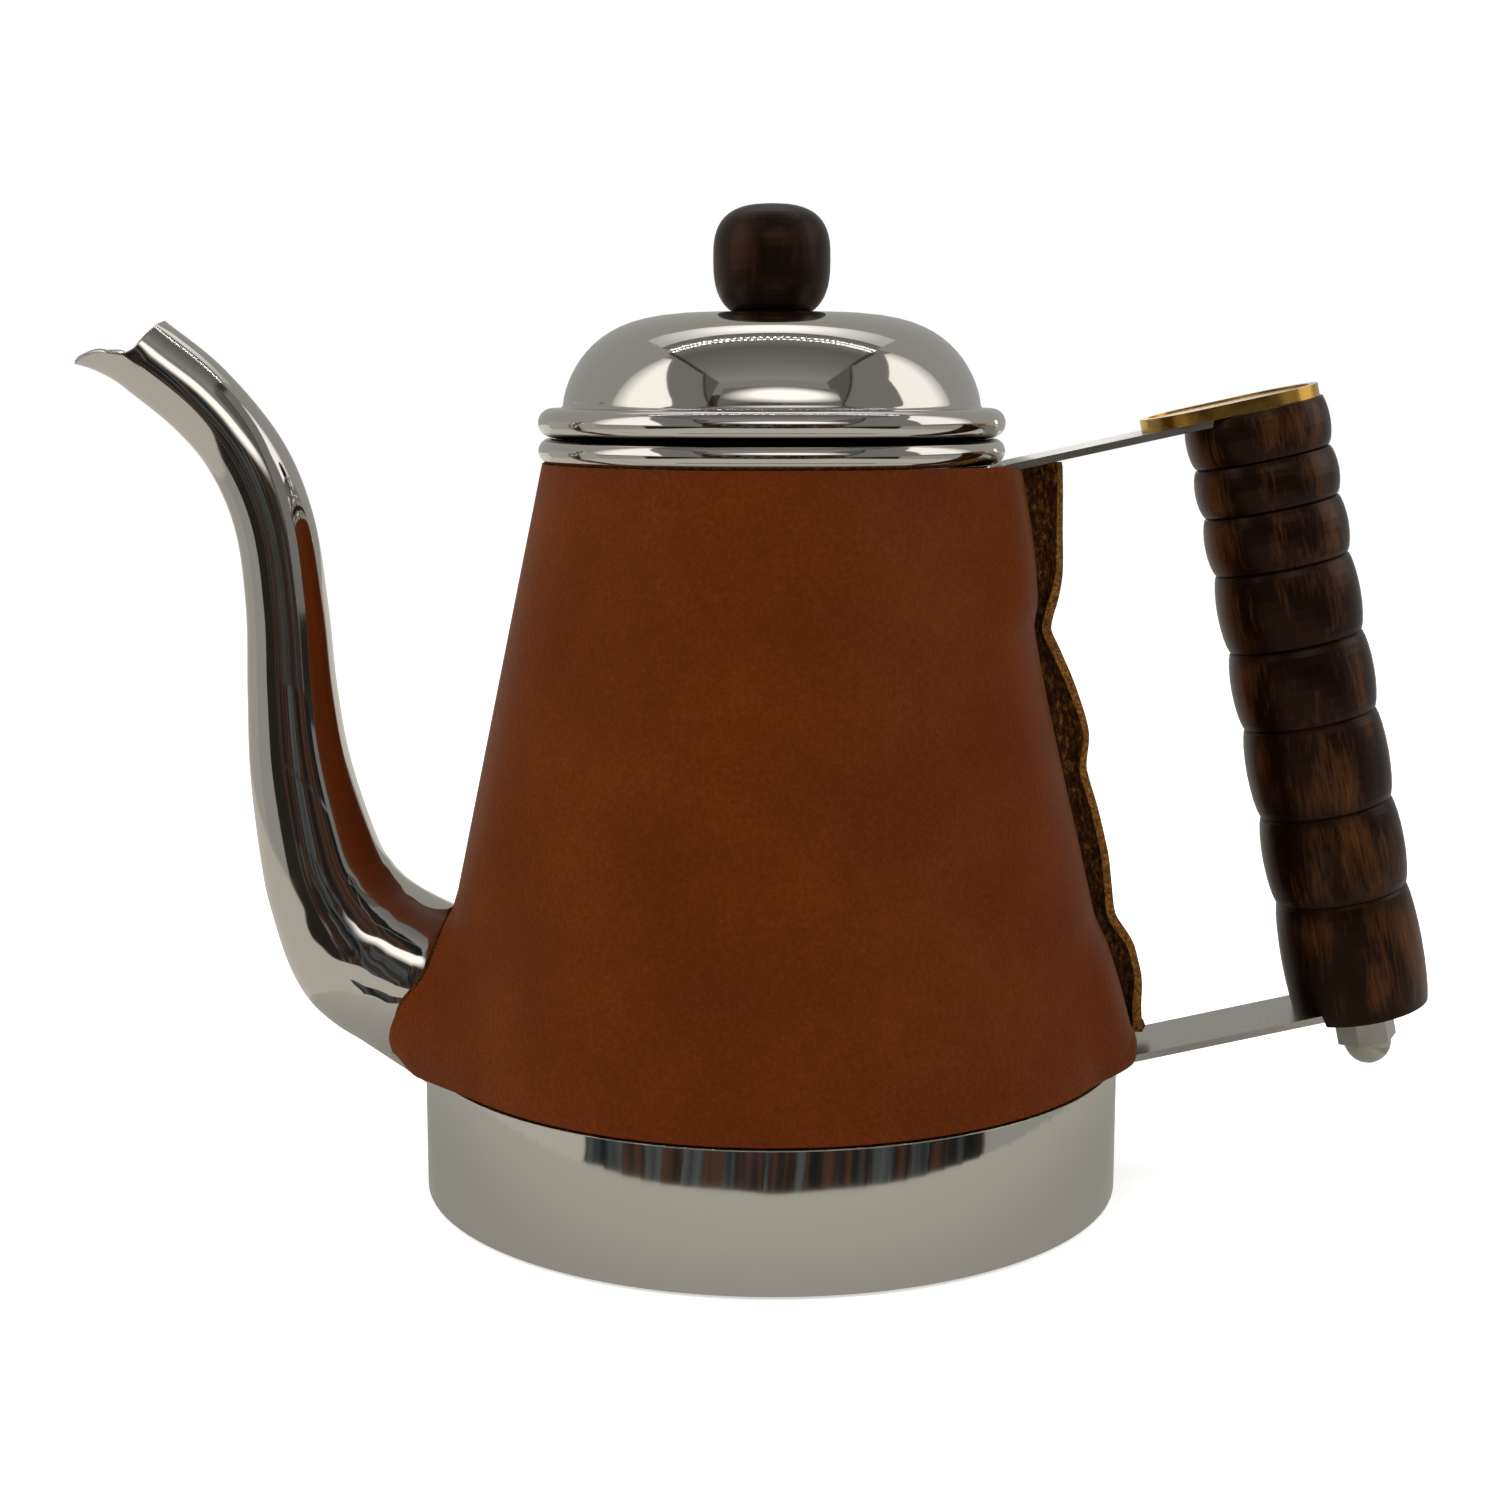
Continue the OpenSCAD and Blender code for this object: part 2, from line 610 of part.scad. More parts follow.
// The hem rises at the slot's corners and over the lower strap, and the top edge keeps
// below the upper strap
function lifted(p, z) =
    let(
        hem = max(0, 1 - (z - hem_z) / edge_zone), top = max(0, 1 - (sleeve_top - z) / edge_zone),
        back = p[0] > 0 ? smooth((strap_r + 1 + strap_blend - abs(p[1])) / strap_blend) : 0,
        front = p[0] < 0 ? smooth((corner_end - atan2(abs(p[1]), -p[0])) / corner_blend) : 0,
        rise = max(knee_z + back_rise, over_lower(p[0])) - hem_z,
        dip = min(0.4, under_upper(p[0]) - sleeve_top)
    )
    [p[0], p[1], z + back * (rise * hem + dip * top) + front * corner_rise * hem];
// Width beside the straps over which the leather comes back to the cone
flare_w = 13;
// How far the leather has to stand off the cone over the lower strap's foot, by height
joggle_z = knee_z + joggle_h;
foot_room = [
    [knee_z + 0.7, ledge_w + strap_t + 0.5], [joggle_z + 0.7, strap_t + 0.7],
    [joggle_z + lower_foot_l, strap_t + 0.7], [joggle_z + lower_foot_l + 6, 0]
];
// Point of the flesh side at an angle from the spout; side is -1 on the near half, 1 on the far
function hide(z, a, side, flare) =
    let(
        r0 = body_r(z) + leather_gap, y0 = r0 * sin(a),
        near_back = a > 90 ? smooth((strap_r + 3 + flare_w - y0) / flare_w) : 0,
        off = max(flare, lookup(z, foot_room)) * near_back,
        r = r0 / cos(max(0, lookup(z, tent_angle) - a)) + off
    )
    [-r * cos(a), side * r * sin(a)];
// Plan outline of each half at a height, from the slot to its edge at the back
function near_half(z) =
    let(
        r = body_r(z) + leather_gap, a0 = lookup(z, slot_angle),
        a1 = 180 - asin(near_edge_y / r), flare = lookup(up_sleeve(z), near_flare)
    )
    [for (j = [0:front_cols + fold_cols + 1])
        hide(z, a0 + (a1 - a0) * j / (front_cols + fold_cols + 1), -1, flare)];
function far_half(z) =
    let(
        r = body_r(z) + leather_gap, a0 = lookup(z, slot_angle), flare = lookup(up_sleeve(z), far_flare),
        a1 = 180 - asin(fold_y / r), p = hide(z, a1, 1, flare),
        edge_x = r + leather_t + lookup(up_sleeve(z), flap_reach)
    )
    concat(
        [for (j = [0:front_cols]) hide(z, a0 + (a1 - a0) * j / front_cols, 1, flare)],
        [for (k = [1:fold_cols])
            p + fold_r * [1 - cos(90 * k / fold_cols), -sin(90 * k / fold_cols)]],
        [[edge_x, p[1] - fold_r + 0.6 * sin(z * 9)]]
    );

// One sheet from the near flap's edge, round the front and its slot, to the far flap's edge
module leather_sleeve() {
    half = front_cols + fold_cols + 2;
    rows = len(sleeve_rows);
    cols = 2 * half;
    skins = [
        for (i = [0:rows - 1]) let(z = sleeve_rows[i], near = near_half(z), far = far_half(z))
            concat(
                [for (j = [half - 1:-1:0]) [lifted(near[j], z), lifted(offset_at(near, j, leather_t), z)]],
                [for (j = [0:half - 1]) [lifted(far[j], z), lifted(offset_at(far, j, -leather_t), z)]]
            )
    ];
    points = [for (row = skins) for (pair = row) each pair];
    f = function(i, j) (i * cols + j) * 2;
    g = function(i, j) (i * cols + j) * 2 + 1;
    quad = function(a, b, c, d) [[a, b, c], [a, c, d]];
    faces = concat(
        [for (i = [0:rows - 2]) for (j = [0:cols - 2]) if (j != half - 1 || i >= slot_row)
            each concat(quad(g(i, j), g(i, j + 1), g(i + 1, j + 1), g(i + 1, j)),
                quad(f(i, j), f(i + 1, j), f(i + 1, j + 1), f(i, j + 1)))],
        [for (j = [0:cols - 2])
            let(i = j == half - 1 ? slot_row : 0)
            each quad(g(i, j + 1), g(i, j), f(i, j), f(i, j + 1))],
        [for (j = [0:cols - 2])
            each quad(g(rows - 1, j), g(rows - 1, j + 1), f(rows - 1, j + 1), f(rows - 1, j))],
        [for (i = [0:rows - 2]) for (j = i < slot_row ? [0, half] : [0])
            each quad(g(i, j), g(i + 1, j), f(i + 1, j), f(i, j))],
        [for (i = [0:rows - 2]) for (j = i < slot_row ? [half - 1, cols - 1] : [cols - 1])
            each quad(g(i + 1, j), g(i, j), f(i, j), f(i + 1, j))]
    );
    color("#8a4520") polyhedron(points, faces, convexity = 8);
}

// Thread tacks that draw the two flaps together at the back, from inside the far flap's fold
tack_y = fold_y + 0.9;
module seam_tacks() {
    color("#3a2416") for (u = tack_parts) let(z = hem_z + (sleeve_top - hem_z) * u / 100)
        translate([body_r(z) + leather_gap + leather_t / 2 + 0.4, tack_y, z])
            rotate([90, 0, 0]) cylinder(h = tack_y + near_edge_y + leather_t, d = thread_d, $fn = 16);
}

// ---- Lid

// Exponents of the dome's outline across and upwards
dome_fullness = 0.444;
dome_fall = 1.25;
// Spun dome with a flat crown, a steam hole and a rolled rim
module lid_dome() {
    roll_c = [rim_r - lid_roll_r, roll_top_z - lid_roll_r];
    dome = concat([[0, dome_z], [crown_r, dome_z]], [for (a = [9:5:84])
        [dome_r * pow(sin(a), dome_fullness), roll_top_z + dome_h * pow(cos(a), dome_fall)]]);
    path = concat(
        dome,
        corner(last(dome), [dome_r, roll_top_z], [roll_c[0], roll_top_z], 0.8, 4),
        arc(roll_c, lid_roll_r, 90, -90, 16)
    );
    color("silver") difference() {
        revolve(sheet(path, steel_t));
        translate([0, 0, dome_z - 4]) cylinder(h = 8, r = screw_d / 2 + screw_fit);
        translate([vent_r, 0, roll_top_z]) cylinder(h = dome_h + 2, d = vent_d);
    }
}

// Plain ring welded under the dome, which guides the lid in the mouth
module lid_skirt() {
    outer_r = mouth_r - skirt_fit;
    top_z = roll_top_z - steel_t + 0.1;
    color("silver") revolve([
        [outer_r, lid_z - skirt_h], [outer_r, top_z],
        [outer_r - steel_t, top_z], [outer_r - steel_t, lid_z - skirt_h]
    ]);
}

// Turned wooden knob, bored from below for its insert
module knob() {
    low = knob_waist / sin(60);
    high = knob_h - knob_waist;
    start = -asin(pow(knob_waist / low, knob_power / 2));
    bulge = [for (i = [0:24])
        let(a = start + (90 - start) * i / 24, s = pow(abs(sin(a)), 2 / knob_power))
        [knob_d / 2 * pow(abs(cos(a)), 2 / knob_power), knob_waist + (a < 0 ? -low : high) * s]];
    color("#2e1b14") translate([0, 0, dome_z]) difference() {
        revolve(concat([[0, 0]], bulge));
        translate([0, 0, -1]) cylinder(h = insert_h + 1.5, r = insert_d / 2 + seat);
    }
}

// Threaded brass insert pressed into the knob
module knob_insert() {
    color("#b98a34") translate([0, 0, dome_z + 0.2]) difference() {
        cylinder(h = insert_h, d = insert_d);
        translate([0, 0, -1]) cylinder(h = insert_h + 2, r = screw_d / 2 + seat);
    }
}

washer_z = dome_z - steel_t - knob_washer_t;

// Screw from inside the dome up into the knob
module knob_screw() {
    head_h = 2.6;
    color("gray") translate([0, 0, washer_z - head_h]) difference() {
        union() {
            cylinder(h = head_h, d = 2 * screw_d);
            cylinder(h = head_h + knob_washer_t + steel_t + 7, d = screw_d);
        }
        for (turn = [0, 90]) rotate([0, 0, turn]) translate([-2.5, -0.5, -1]) cube([5, 1, 2.2]);
    }
}

module knob_washer() {
    color("lightgray") translate([0, 0, washer_z]) difference() {
        cylinder(h = knob_washer_t - seat, d = knob_washer_d);
        translate([0, 0, -1]) cylinder(h = knob_washer_t + 2, r = screw_d / 2 + screw_fit);
    }
}

base_cap();
body_shell();
spout_tube();
upper_strap();
lower_strap();
grip();
handle_bolt();
acorn_nut();
thumb_plate();
leather_sleeve();
seam_tacks();
lid_dome();
lid_skirt();
knob();
knob_insert();
knob_screw();
knob_washer();
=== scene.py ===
# %% [markdown]
# # Gooseneck drip kettle with a leather sleeve
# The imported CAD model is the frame: every hard piece already has its real shape and place.
# This script gives each piece its finish, replaces the plain leather solid by a modelled
# sheet of leather, and sets up the camera, the table and the light.

# %% Load the frame
import math
from math import asin, atan2, cos, degrees, pi, radians, sin, tan

import bmesh
import bpy
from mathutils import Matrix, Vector


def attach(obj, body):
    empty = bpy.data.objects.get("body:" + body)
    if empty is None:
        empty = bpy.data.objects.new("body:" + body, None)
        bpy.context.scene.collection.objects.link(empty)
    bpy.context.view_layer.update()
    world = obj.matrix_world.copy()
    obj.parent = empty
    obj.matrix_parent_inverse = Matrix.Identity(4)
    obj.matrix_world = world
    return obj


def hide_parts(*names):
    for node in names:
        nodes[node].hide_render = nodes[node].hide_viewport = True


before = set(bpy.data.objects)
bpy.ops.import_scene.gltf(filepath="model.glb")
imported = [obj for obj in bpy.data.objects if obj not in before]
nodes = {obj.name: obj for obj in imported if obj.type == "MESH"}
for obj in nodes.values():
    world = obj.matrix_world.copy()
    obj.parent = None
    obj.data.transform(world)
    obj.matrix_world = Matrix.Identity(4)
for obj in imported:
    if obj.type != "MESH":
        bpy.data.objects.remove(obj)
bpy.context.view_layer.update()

# %% [markdown]
# ## Camera
# A close, slightly raised view: the lens stands half a metre from the kettle's axis and looks
# down by nine degrees, so the rims show as flat ellipses. A pinhole is enough, so depth of
# field stays off.

# %% Camera
# Metres, radians, and millimetres of lens and sensor
LENS_PLACE, LENS_DIP, LENS_LENGTH, SENSOR_WIDTH = (-0.0045, -0.490, 0.1702), 0.15631, 55.891, 36
camera_data = bpy.data.cameras.new("camera")
camera_data.lens = LENS_LENGTH
camera_data.sensor_width = SENSOR_WIDTH
camera_data.clip_start = 0.01
camera_data.clip_end = 20
camera = bpy.data.objects.new("camera", camera_data)
camera.location = LENS_PLACE
camera.rotation_euler = (pi / 2 - LENS_DIP, 0, 0)
bpy.context.scene.collection.objects.link(camera)
bpy.context.scene.camera = camera
print("camera at", tuple(camera.location))

# %% [markdown]
# ## Helpers
# Colours are picked as sRGB hex values, but the shaders work in linear light, so one function
# turns them round. A second small function adds any node with its settings and its links, so
# that each material below reads as a short list of steps.

# %% Colour and node helpers
MM = 0.001
scene = bpy.context.scene
scene.view_settings.view_transform = "Standard"


def colour(hex_value, level=1.0):
    """Linear colour of an sRGB hex value such as "#9A968A", times a level."""
    parts = [int(hex_value[i:i + 2], 16) / 255 for i in (1, 3, 5)]
    linear = [c / 12.92 if c <= 0.04045 else ((c + 0.055) / 1.055) ** 2.4 for c in parts]
    return (*(c * level for c in linear), 1)


def add(tree, kind, settings=None, **links):
    """Adds a node. settings are its properties. links are its inputs by name or by number, as
    i0, with a value or another node's output. An underscore in a name stands for a space."""
    node = tree.nodes.new("ShaderNode" + kind)
    for name, value in (settings or {}).items():
        setattr(node, name, value)
    for name, value in links.items():
        key = int(name[1:]) if name[0] == "i" and name[1:].isdigit() else name.replace("_", " ")
        if isinstance(value, bpy.types.NodeSocket):
            tree.links.new(value, node.inputs[key])
        else:
            node.inputs[key].default_value = value
    return node


def new_material(name, **values):
    """A material with a Principled shader wired to its output: (material, tree, shader)."""
    material = bpy.data.materials.new(name)
    material.use_nodes = True
    tree = material.node_tree
    tree.nodes.clear()
    shader = add(tree, "BsdfPrincipled", **values)
    add(tree, "OutputMaterial", Surface=shader.outputs["BSDF"])
    return material, tree, shader


def ramp(tree, factor, stops):
    """A colour ramp of (position, hex) stops."""
    node = add(tree, "ValToRGB", Fac=factor)
    elements = node.color_ramp.elements
    while len(elements) < len(stops):
        elements.new(0.5)
    for element, (position, hex_value) in zip(elements, stops):
        element.position = position
        element.color = colour(hex_value)
    return node.outputs["Color"]


def dress(material, *names):
    """Gives a material to CAD nodes through their own material slots."""
    for name in names:
        for piece_slot in nodes[name].material_slots:
            piece_slot.material = material
    print(material.name, "on", ", ".join(names))


def new_piece(name, mesh_maker):
    """A linked object whose mesh mesh_maker(bm) makes in place."""
    mesh = bpy.data.meshes.new(name)
    bm = bmesh.new()
    mesh_maker(bm)
    bm.to_mesh(mesh)
    bm.free()
    piece = bpy.data.objects.new(name, mesh)
    scene.collection.objects.link(piece)
    return piece


def lookup(x, table):
    """Value at x in a table of (x, value) rows, on a smooth curve that doesn't overshoot."""
    if x <= table[0][0]:
        return table[0][1]
    if x >= table[-1][0]:
        return table[-1][1]
    i = max(k for k in range(len(table) - 1) if table[k][0] <= x)
    slopes = [(b[1] - a[1]) / (b[0] - a[0]) for a, b in zip(table, table[1:])]

    def tangent(k):
        if k in (0, len(slopes)) or slopes[k - 1] * slopes[k] <= 0:
            return 0 if 0 < k < len(slopes) else slopes[min(k, len(slopes) - 1)]
        return 2 * slopes[k - 1] * slopes[k] / (slopes[k - 1] + slopes[k])

    width = table[i + 1][0] - table[i][0]
    t = (x - table[i][0]) / width
    return ((2 * t ** 3 - 3 * t ** 2 + 1) * table[i][1]
            + (3 * t ** 2 - 2 * t ** 3) * table[i + 1][1]
            + width * ((t ** 3 - 2 * t ** 2 + t) * tangent(i) + (t ** 3 - t ** 2) * tangent(i + 1)))


def ease(x):
    """0 to 1, smooth at both ends."""
    u = max(0.0, min(1.0, x))
    return u * u * (3 - 2 * u)


print("helpers ready; view transform", scene.view_settings.view_transform)

# %% [markdown]
# ## Table and light
# The kettle stands on a white table under soft, even light. A mirror finish shows whatever
# stands round it, so the set matters as much as the metal: a light box with a lit panel on
# each side and a grey back sheet, open at the front to a dark room, with rows of small lamps
# under its top and a round white turntable on its floor. These pieces are seen only by glossy
# rays: they don't light the object, and the lens looks past them at white.

# %% Floor for the lens and the shadows
def flat_sheet(size):
    return lambda bm: bmesh.ops.create_grid(bm, x_segments=1, y_segments=1, size=size)


floor = new_piece("floor", flat_sheet(3))
floor_finish, tree, shader = new_material("white_table", Base_Color=colour("#F2F2F0"),
                                          Roughness=0.8)
shader.inputs["Specular IOR Level"].default_value = 0.2
path = add(tree, "LightPath")
lens = add(tree, "Math", {"operation": "MULTIPLY"}, i0=path.outputs["Is Camera Ray"], i1=0.5)
tree.links.new(lens.outputs[0], shader.inputs["Emission Strength"])
shader.inputs["Emission Color"].default_value = (1, 1, 1, 1)
floor.data.materials.append(floor_finish)
floor.visible_glossy = False
print("floor", tuple(floor.dimensions))

# %% World
world = bpy.data.worlds.new("white_studio")
world.use_nodes = True
scene.world = world
tree = world.node_tree
tree.nodes.clear()
path = add(tree, "LightPath")
seen = add(tree, "Math", {"operation": "MAXIMUM"}, i0=path.outputs["Is Camera Ray"],
           i1=path.outputs["Is Glossy Ray"])
seen = add(tree, "Math", {"operation": "MAXIMUM"}, i0=seen.outputs[0],
           i1=path.outputs["Is Transmission Ray"])
strength = add(tree, "MapRange", Value=seen.outputs[0], To_Min=0.62, To_Max=1.0)
background = add(tree, "Background", Color=(1, 1, 1, 1), Strength=strength.outputs["Result"])
add(tree, "OutputWorld", Surface=background.outputs["Background"])
print("world white for the lens and for mirrors, 0.62 for plain surfaces")

# %% Soft lamps
def soft_lamp(name, place, aim, size, power):
    """A square soft box at place that faces aim. Mirrors see the light box, not the lamp."""
    data = bpy.data.lights.new(name, "AREA")
    data.size = size
    data.energy = power
    lamp = bpy.data.objects.new(name, data)
    lamp.location = place
    lamp.rotation_euler = (Vector(aim) - Vector(place)).to_track_quat("-Z", "Y").to_euler()
    lamp.visible_glossy = False
    scene.collection.objects.link(lamp)
    print(name, power, "W")


soft_lamp("left_softbox", (-0.9, -0.45, 0.6), (0, 0, 0.09), 0.6, 5)
soft_lamp("right_softbox", (0.9, -0.45, 0.6), (0, 0, 0.09), 0.6, 3.5)
soft_lamp("top_softbox", (0, 0.1, 1.0), (0, 0, 0.09), 0.8, 5)

# %% Light box finishes
def emitter(name, strength):
    """A material that only glows: (material, tree, shader)."""
    material = bpy.data.materials.new(name)
    material.use_nodes = True
    tree = material.node_tree
    tree.nodes.clear()
    light = add(tree, "Emission", Strength=strength)
    add(tree, "OutputMaterial", Surface=light.outputs[0])
    return material, tree, light


def glow(name, hex_value, level):
    """A surface that shows mirrors one even tone."""
    material, _, light = emitter(name, level)
    light.inputs["Color"].default_value = colour(hex_value)
    return material


wall_grey = glow("grey_wall", "#F4F2EE", 0.27)
rear_grey = glow("grey_rear", "#F6F6F0", 0.42)
frame_black = glow("black_frame", "#3A3836", 1.0)
low_light = glow("pale_box_floor", "#FFFAF0", 0.62)
back_light = glow("bright_rear_foot", "#FFFCF2", 0.72)
low_grey = glow("low_rear_side", "#FFFCF2", 0.46)
strap_light = glow("bright_behind_strap", "#FFFEFA", 1.7)
dim_side = glow("dim_room_side", "#EEECE6", 0.16)
low_dark = glow("dark_low_front", "#2B2924", 1.0)
lamp_dot = glow("lamp_dot", "#FFFFFF", 20.0)
room_grey = glow("grey_room", "#F2F1EE", 0.34)
print("even tones of the light box, from", dim_side.name, "to", lamp_dot.name)


# %% Toned sheets of the light box
def toned(name, stops, scale, centre, kind="SPHERICAL", tint=(1, 0.985, 0.95)):
    """A glowing surface whose tone changes with the distance from a centre, in metres, or
    along a line. Its strength of 2 leaves room in the ramp for tones brighter than white."""
    material, tree, light = emitter(name, 2.0)
    place = add(tree, "TexCoord").outputs["Object"]
    offset = tuple(-c * k for c, k in zip(centre, scale))
    spread = add(tree, "Mapping", Vector=place, Scale=scale, Location=offset)
    turned = add(tree, "Mapping", Vector=spread.outputs[0],
                 Rotation=(0, 0, -pi / 2 if kind == "LINEAR" else 0))
    near = add(tree, "TexGradient", {"gradient_type": kind}, Vector=turned.outputs[0])
    level = add(tree, "ValToRGB", Fac=near.outputs["Fac"])
    elements = level.color_ramp.elements
    while len(elements) < len(stops):
        elements.new(0.5)
    for element, (position, tone) in zip(elements, stops):
        element.position = position
        element.color = (*(tone * part for part in tint), 1)
    tree.links.new(level.outputs["Color"], light.inputs["Color"])
    return material


rear_top = toned("bright_rear_top", [(0.0, 0.33), (0.4, 0.52), (0.8, 0.85)], (2.0, 2.6, 0),
                 (0, 0.47, 0))
front_top = toned("dim_front_top", [(0.0, 0.17), (0.45, 0.11), (0.8, 0.08), (1.0, 0.14)],
                  (0, 1.15, 0), (0, 0.12, 0))
window = toned("window", [(0.0, 0.10), (0.25, 0.45), (0.5, 0.85)], (1.9, 0, 5.6),
               (0.11, 0, 0.56))
# The turntable's tone darkens towards the kettle: a painted shadow of the kettle, seen only in
# mirrors
shadowed_turntable = toned("white_turntable_painted_shadow",
                    [(0.25, 0.335), (0.505, 0.26), (0.616, 0.21), (0.7, 0.17)],
                    (3, 3, 3), (0, 0.06, 0), tint=(1, 0.983, 0.88))
left_light = toned("lit_left_panel", [(0.0, 0.75), (0.72, 0.75), (1.0, 0.3)], (0, 2.6, 0),
                   (0, -0.345, 0), "LINEAR")
right_light = toned("lit_right_panel", [(0.0, 0.73), (0.65, 0.73), (1.0, 0.3)], (0, 2.9, 0),
                    (0, -0.145, 0), "LINEAR")
print("toned sheets:", rear_top.name, front_top.name, window.name, shadowed_turntable.name)

# %% Dark room in front
def dim_shapes(name, scale):
    """Upright dim shapes, as furniture far away gives in a mirror."""
    material, tree, light = emitter(name, 1.0)
    place = add(tree, "TexCoord").outputs["Object"]
    wide = add(tree, "Mapping", Vector=place, Scale=scale)
    shapes = add(tree, "TexNoise", Vector=wide.outputs[0], Scale=1.6, Detail=4.0)
    tone = ramp(tree, shapes.outputs["Fac"],
                [(0.30, "#121618"), (0.38, "#24282B"), (0.44, "#5C6262"), (0.48, "#1C1B19"),
                 (0.53, "#5A4134"), (0.56, "#2A2825"), (0.62, "#1A1D20"), (0.70, "#86837B")])
    tree.links.new(tone, light.inputs["Color"])
    return material


room_dark = dim_shapes("dark_room", (7, 1, 0.9))
beyond_table = dim_shapes("dark_beyond_table", (26, 3, 1))
print("dim shapes:", room_dark.name, beyond_table.name)

# %% Light box
def mirror_only(piece, material):
    """A piece of the set that only glossy rays meet."""
    piece.data.materials.append(material)
    piece.visible_camera = False
    piece.visible_diffuse = False
    piece.visible_shadow = False
    piece.visible_transmission = False
    return piece


def board(name, low, high, material):
    """A flat board between two opposite corners, in metres: one of its three sizes is zero."""
    def make(bm):
        bmesh.ops.create_cube(bm, size=1)
        size = [max(h - l, 0.0004) for l, h in zip(low, high)]
        middle = [(h + l) / 2 for l, h in zip(low, high)]
        bmesh.ops.scale(bm, verts=bm.verts, vec=size)
        bmesh.ops.translate(bm, verts=bm.verts, vec=middle)
    return mirror_only(new_piece(name, make), material)


def panel(name, x, corners, material):
    """A flat piece on a side wall, with (y, z) corners."""
    def make(bm):
        bm.faces.new([bm.verts.new((x, y, z)) for y, z in corners])
    return mirror_only(new_piece(name, make), material)


# In metres: the box's half width, top, back and front; where its low side boards turn dark,
# the room's floor and the box's floor; the foot of the box's walls and the height their slope
# is given at, the split of its top, and the room's half width, place, top and bright and dark
# bands
SIDE, TOP, BACK, FRONT = 0.55, 1.0, 0.62, -0.75
LOW_EDGE, LOW, DROP = -0.30, -0.9, -0.03
WALL_FOOT, SLOPE_Z, TOP_SPLIT = 0.15, 0.48, 0.29
ROOM_HALF, ROOM_Y, ROOM_TOP = 2.4, FRONT - 0.1, TOP + 0.5
ROOM_BRIGHT, ROOM_FOOT = 0.66, -0.25
panel("left_panel", -SIDE + 0.002, [(0.04, 0.2), (0.04, 0.86), (-0.03, 0.89), (-0.37, 0.39),
                                    (-0.43, 0.2)], left_light)
panel("right_panel", SIDE - 0.002, [(0.2, 0.22), (0.2, 0.84), (0.13, 0.87), (-0.15, 0.56),
                                    (-0.17, 0.22)], right_light)
for side, rear, front_top_y, front_low_y in ((-1, 0.04, -0.47, -0.77), (1, 0.2, -0.26, -0.62)):
    x = side * SIDE
    slope = (front_top_y - front_low_y) / (TOP - SLOPE_Z)
    foot_y = front_low_y - (SLOPE_Z - WALL_FOOT) * slope
    panel("side_wall", x,
          [(rear, WALL_FOOT), (rear, TOP), (front_top_y, TOP), (foot_y, WALL_FOOT)], wall_grey)
    panel("front_edge", x - side * 0.004, [(front_top_y, TOP), (front_top_y - 0.035, TOP),
                                           (foot_y - 0.035, WALL_FOOT), (foot_y, WALL_FOOT)],
          frame_black)
    board("side_rear", (x, rear, DROP), (x, BACK, TOP), rear_grey)
    board("side_low", (x, LOW_EDGE, DROP), (x, rear, WALL_FOOT), rear_grey)
    board("side_beyond", (x + side * 0.02, ROOM_Y, 0.1), (x + side * 0.02, rear, ROOM_TOP),
          dim_side)
    board("side_front", (x, FRONT, DROP), (x, LOW_EDGE, WALL_FOOT), low_dark)
    board("frame_top", (x - 0.014, front_top_y, TOP - 0.05), (x + 0.014, 0.1, TOP - 0.02),
          frame_black)
board("back_wall", (-SIDE, BACK, DROP), (SIDE, BACK, TOP), rear_grey)
board("top_rear", (-SIDE, TOP_SPLIT, TOP), (SIDE, BACK, TOP), rear_top)
board("top_front", (-SIDE, ROOM_Y, TOP), (SIDE, TOP_SPLIT, TOP), front_top)
for name, low, high, finish in (("room_high", ROOM_BRIGHT, ROOM_TOP, room_grey),
                                ("room", ROOM_FOOT, ROOM_BRIGHT, room_dark),
                                ("room_low", LOW, ROOM_FOOT, low_light)):
    board(name, (-ROOM_HALF, ROOM_Y, low), (ROOM_HALF, ROOM_Y, high), finish)
board("room_floor", (-ROOM_HALF, ROOM_Y, LOW), (ROOM_HALF, BACK, LOW), low_light)
board("window", (-0.42, FRONT, 0.38), (0.64, FRONT, 0.74), window)

# %% Round table and what stands low round it
# In metres: the turntable's radius and its centre's y, its rim, and the low walls' radius
TABLE_R, TABLE_Y, RIM_R, WALL_R = 0.148, 0.014, 0.1485, 0.2


def low_wall(name, first, last, material):
    """Part of a low round wall beyond the turntable, between two angles from the front."""
    def lay(bm):
        bmesh.ops.create_grid(bm, x_segments=60, y_segments=1, size=1)
        for vert in bm.verts:
            angle = radians(first + (last - first) * (vert.co.x + 1) / 2)
            height = DROP + 0.0125 * (vert.co.y + 1)
            vert.co = Vector((WALL_R * sin(angle), TABLE_Y - WALL_R * cos(angle), height))
    mirror_only(new_piece(name, lay), material)


low_wall("beyond_front", -48, 54, beyond_table)
low_wall("beyond_right", 54, 118, rear_grey)
board("box_floor", (-SIDE, ROOM_Y, DROP), (SIDE, BACK, DROP), low_light)
board("back_low", (-SIDE, BACK - 0.004, DROP), (SIDE, BACK - 0.004, 0.13), back_light)
# A bright card for the upper strap's face, and a grey one that hides it from the lid's dome
board("behind_strap", (0.062, 0.12, 0.160), (0.160, 0.12, 0.184), strap_light)
board("beside_strap", (0.0545, -0.004, 0.157), (0.0545, 0.122, 0.215), rear_grey)
board("left_low_rear", (-SIDE + 0.002, 0.0, DROP), (-SIDE + 0.002, BACK, 0.24), low_grey)
# Two dim cards before the spout's inner bend, with a thin gap between them
board("spout_screen_low", (-0.120, -0.042, 0.074), (-0.058, -0.042, 0.0900), beyond_table)
board("spout_screen_high", (-0.120, -0.042, 0.0912), (-0.058, -0.042, 0.108), beyond_table)


def turntable_disc(bm):
    """The round white board under the kettle."""
    bmesh.ops.create_circle(bm, cap_ends=True, segments=96, radius=TABLE_R)
    bmesh.ops.translate(bm, verts=bm.verts, vec=(0, TABLE_Y, -0.0002))


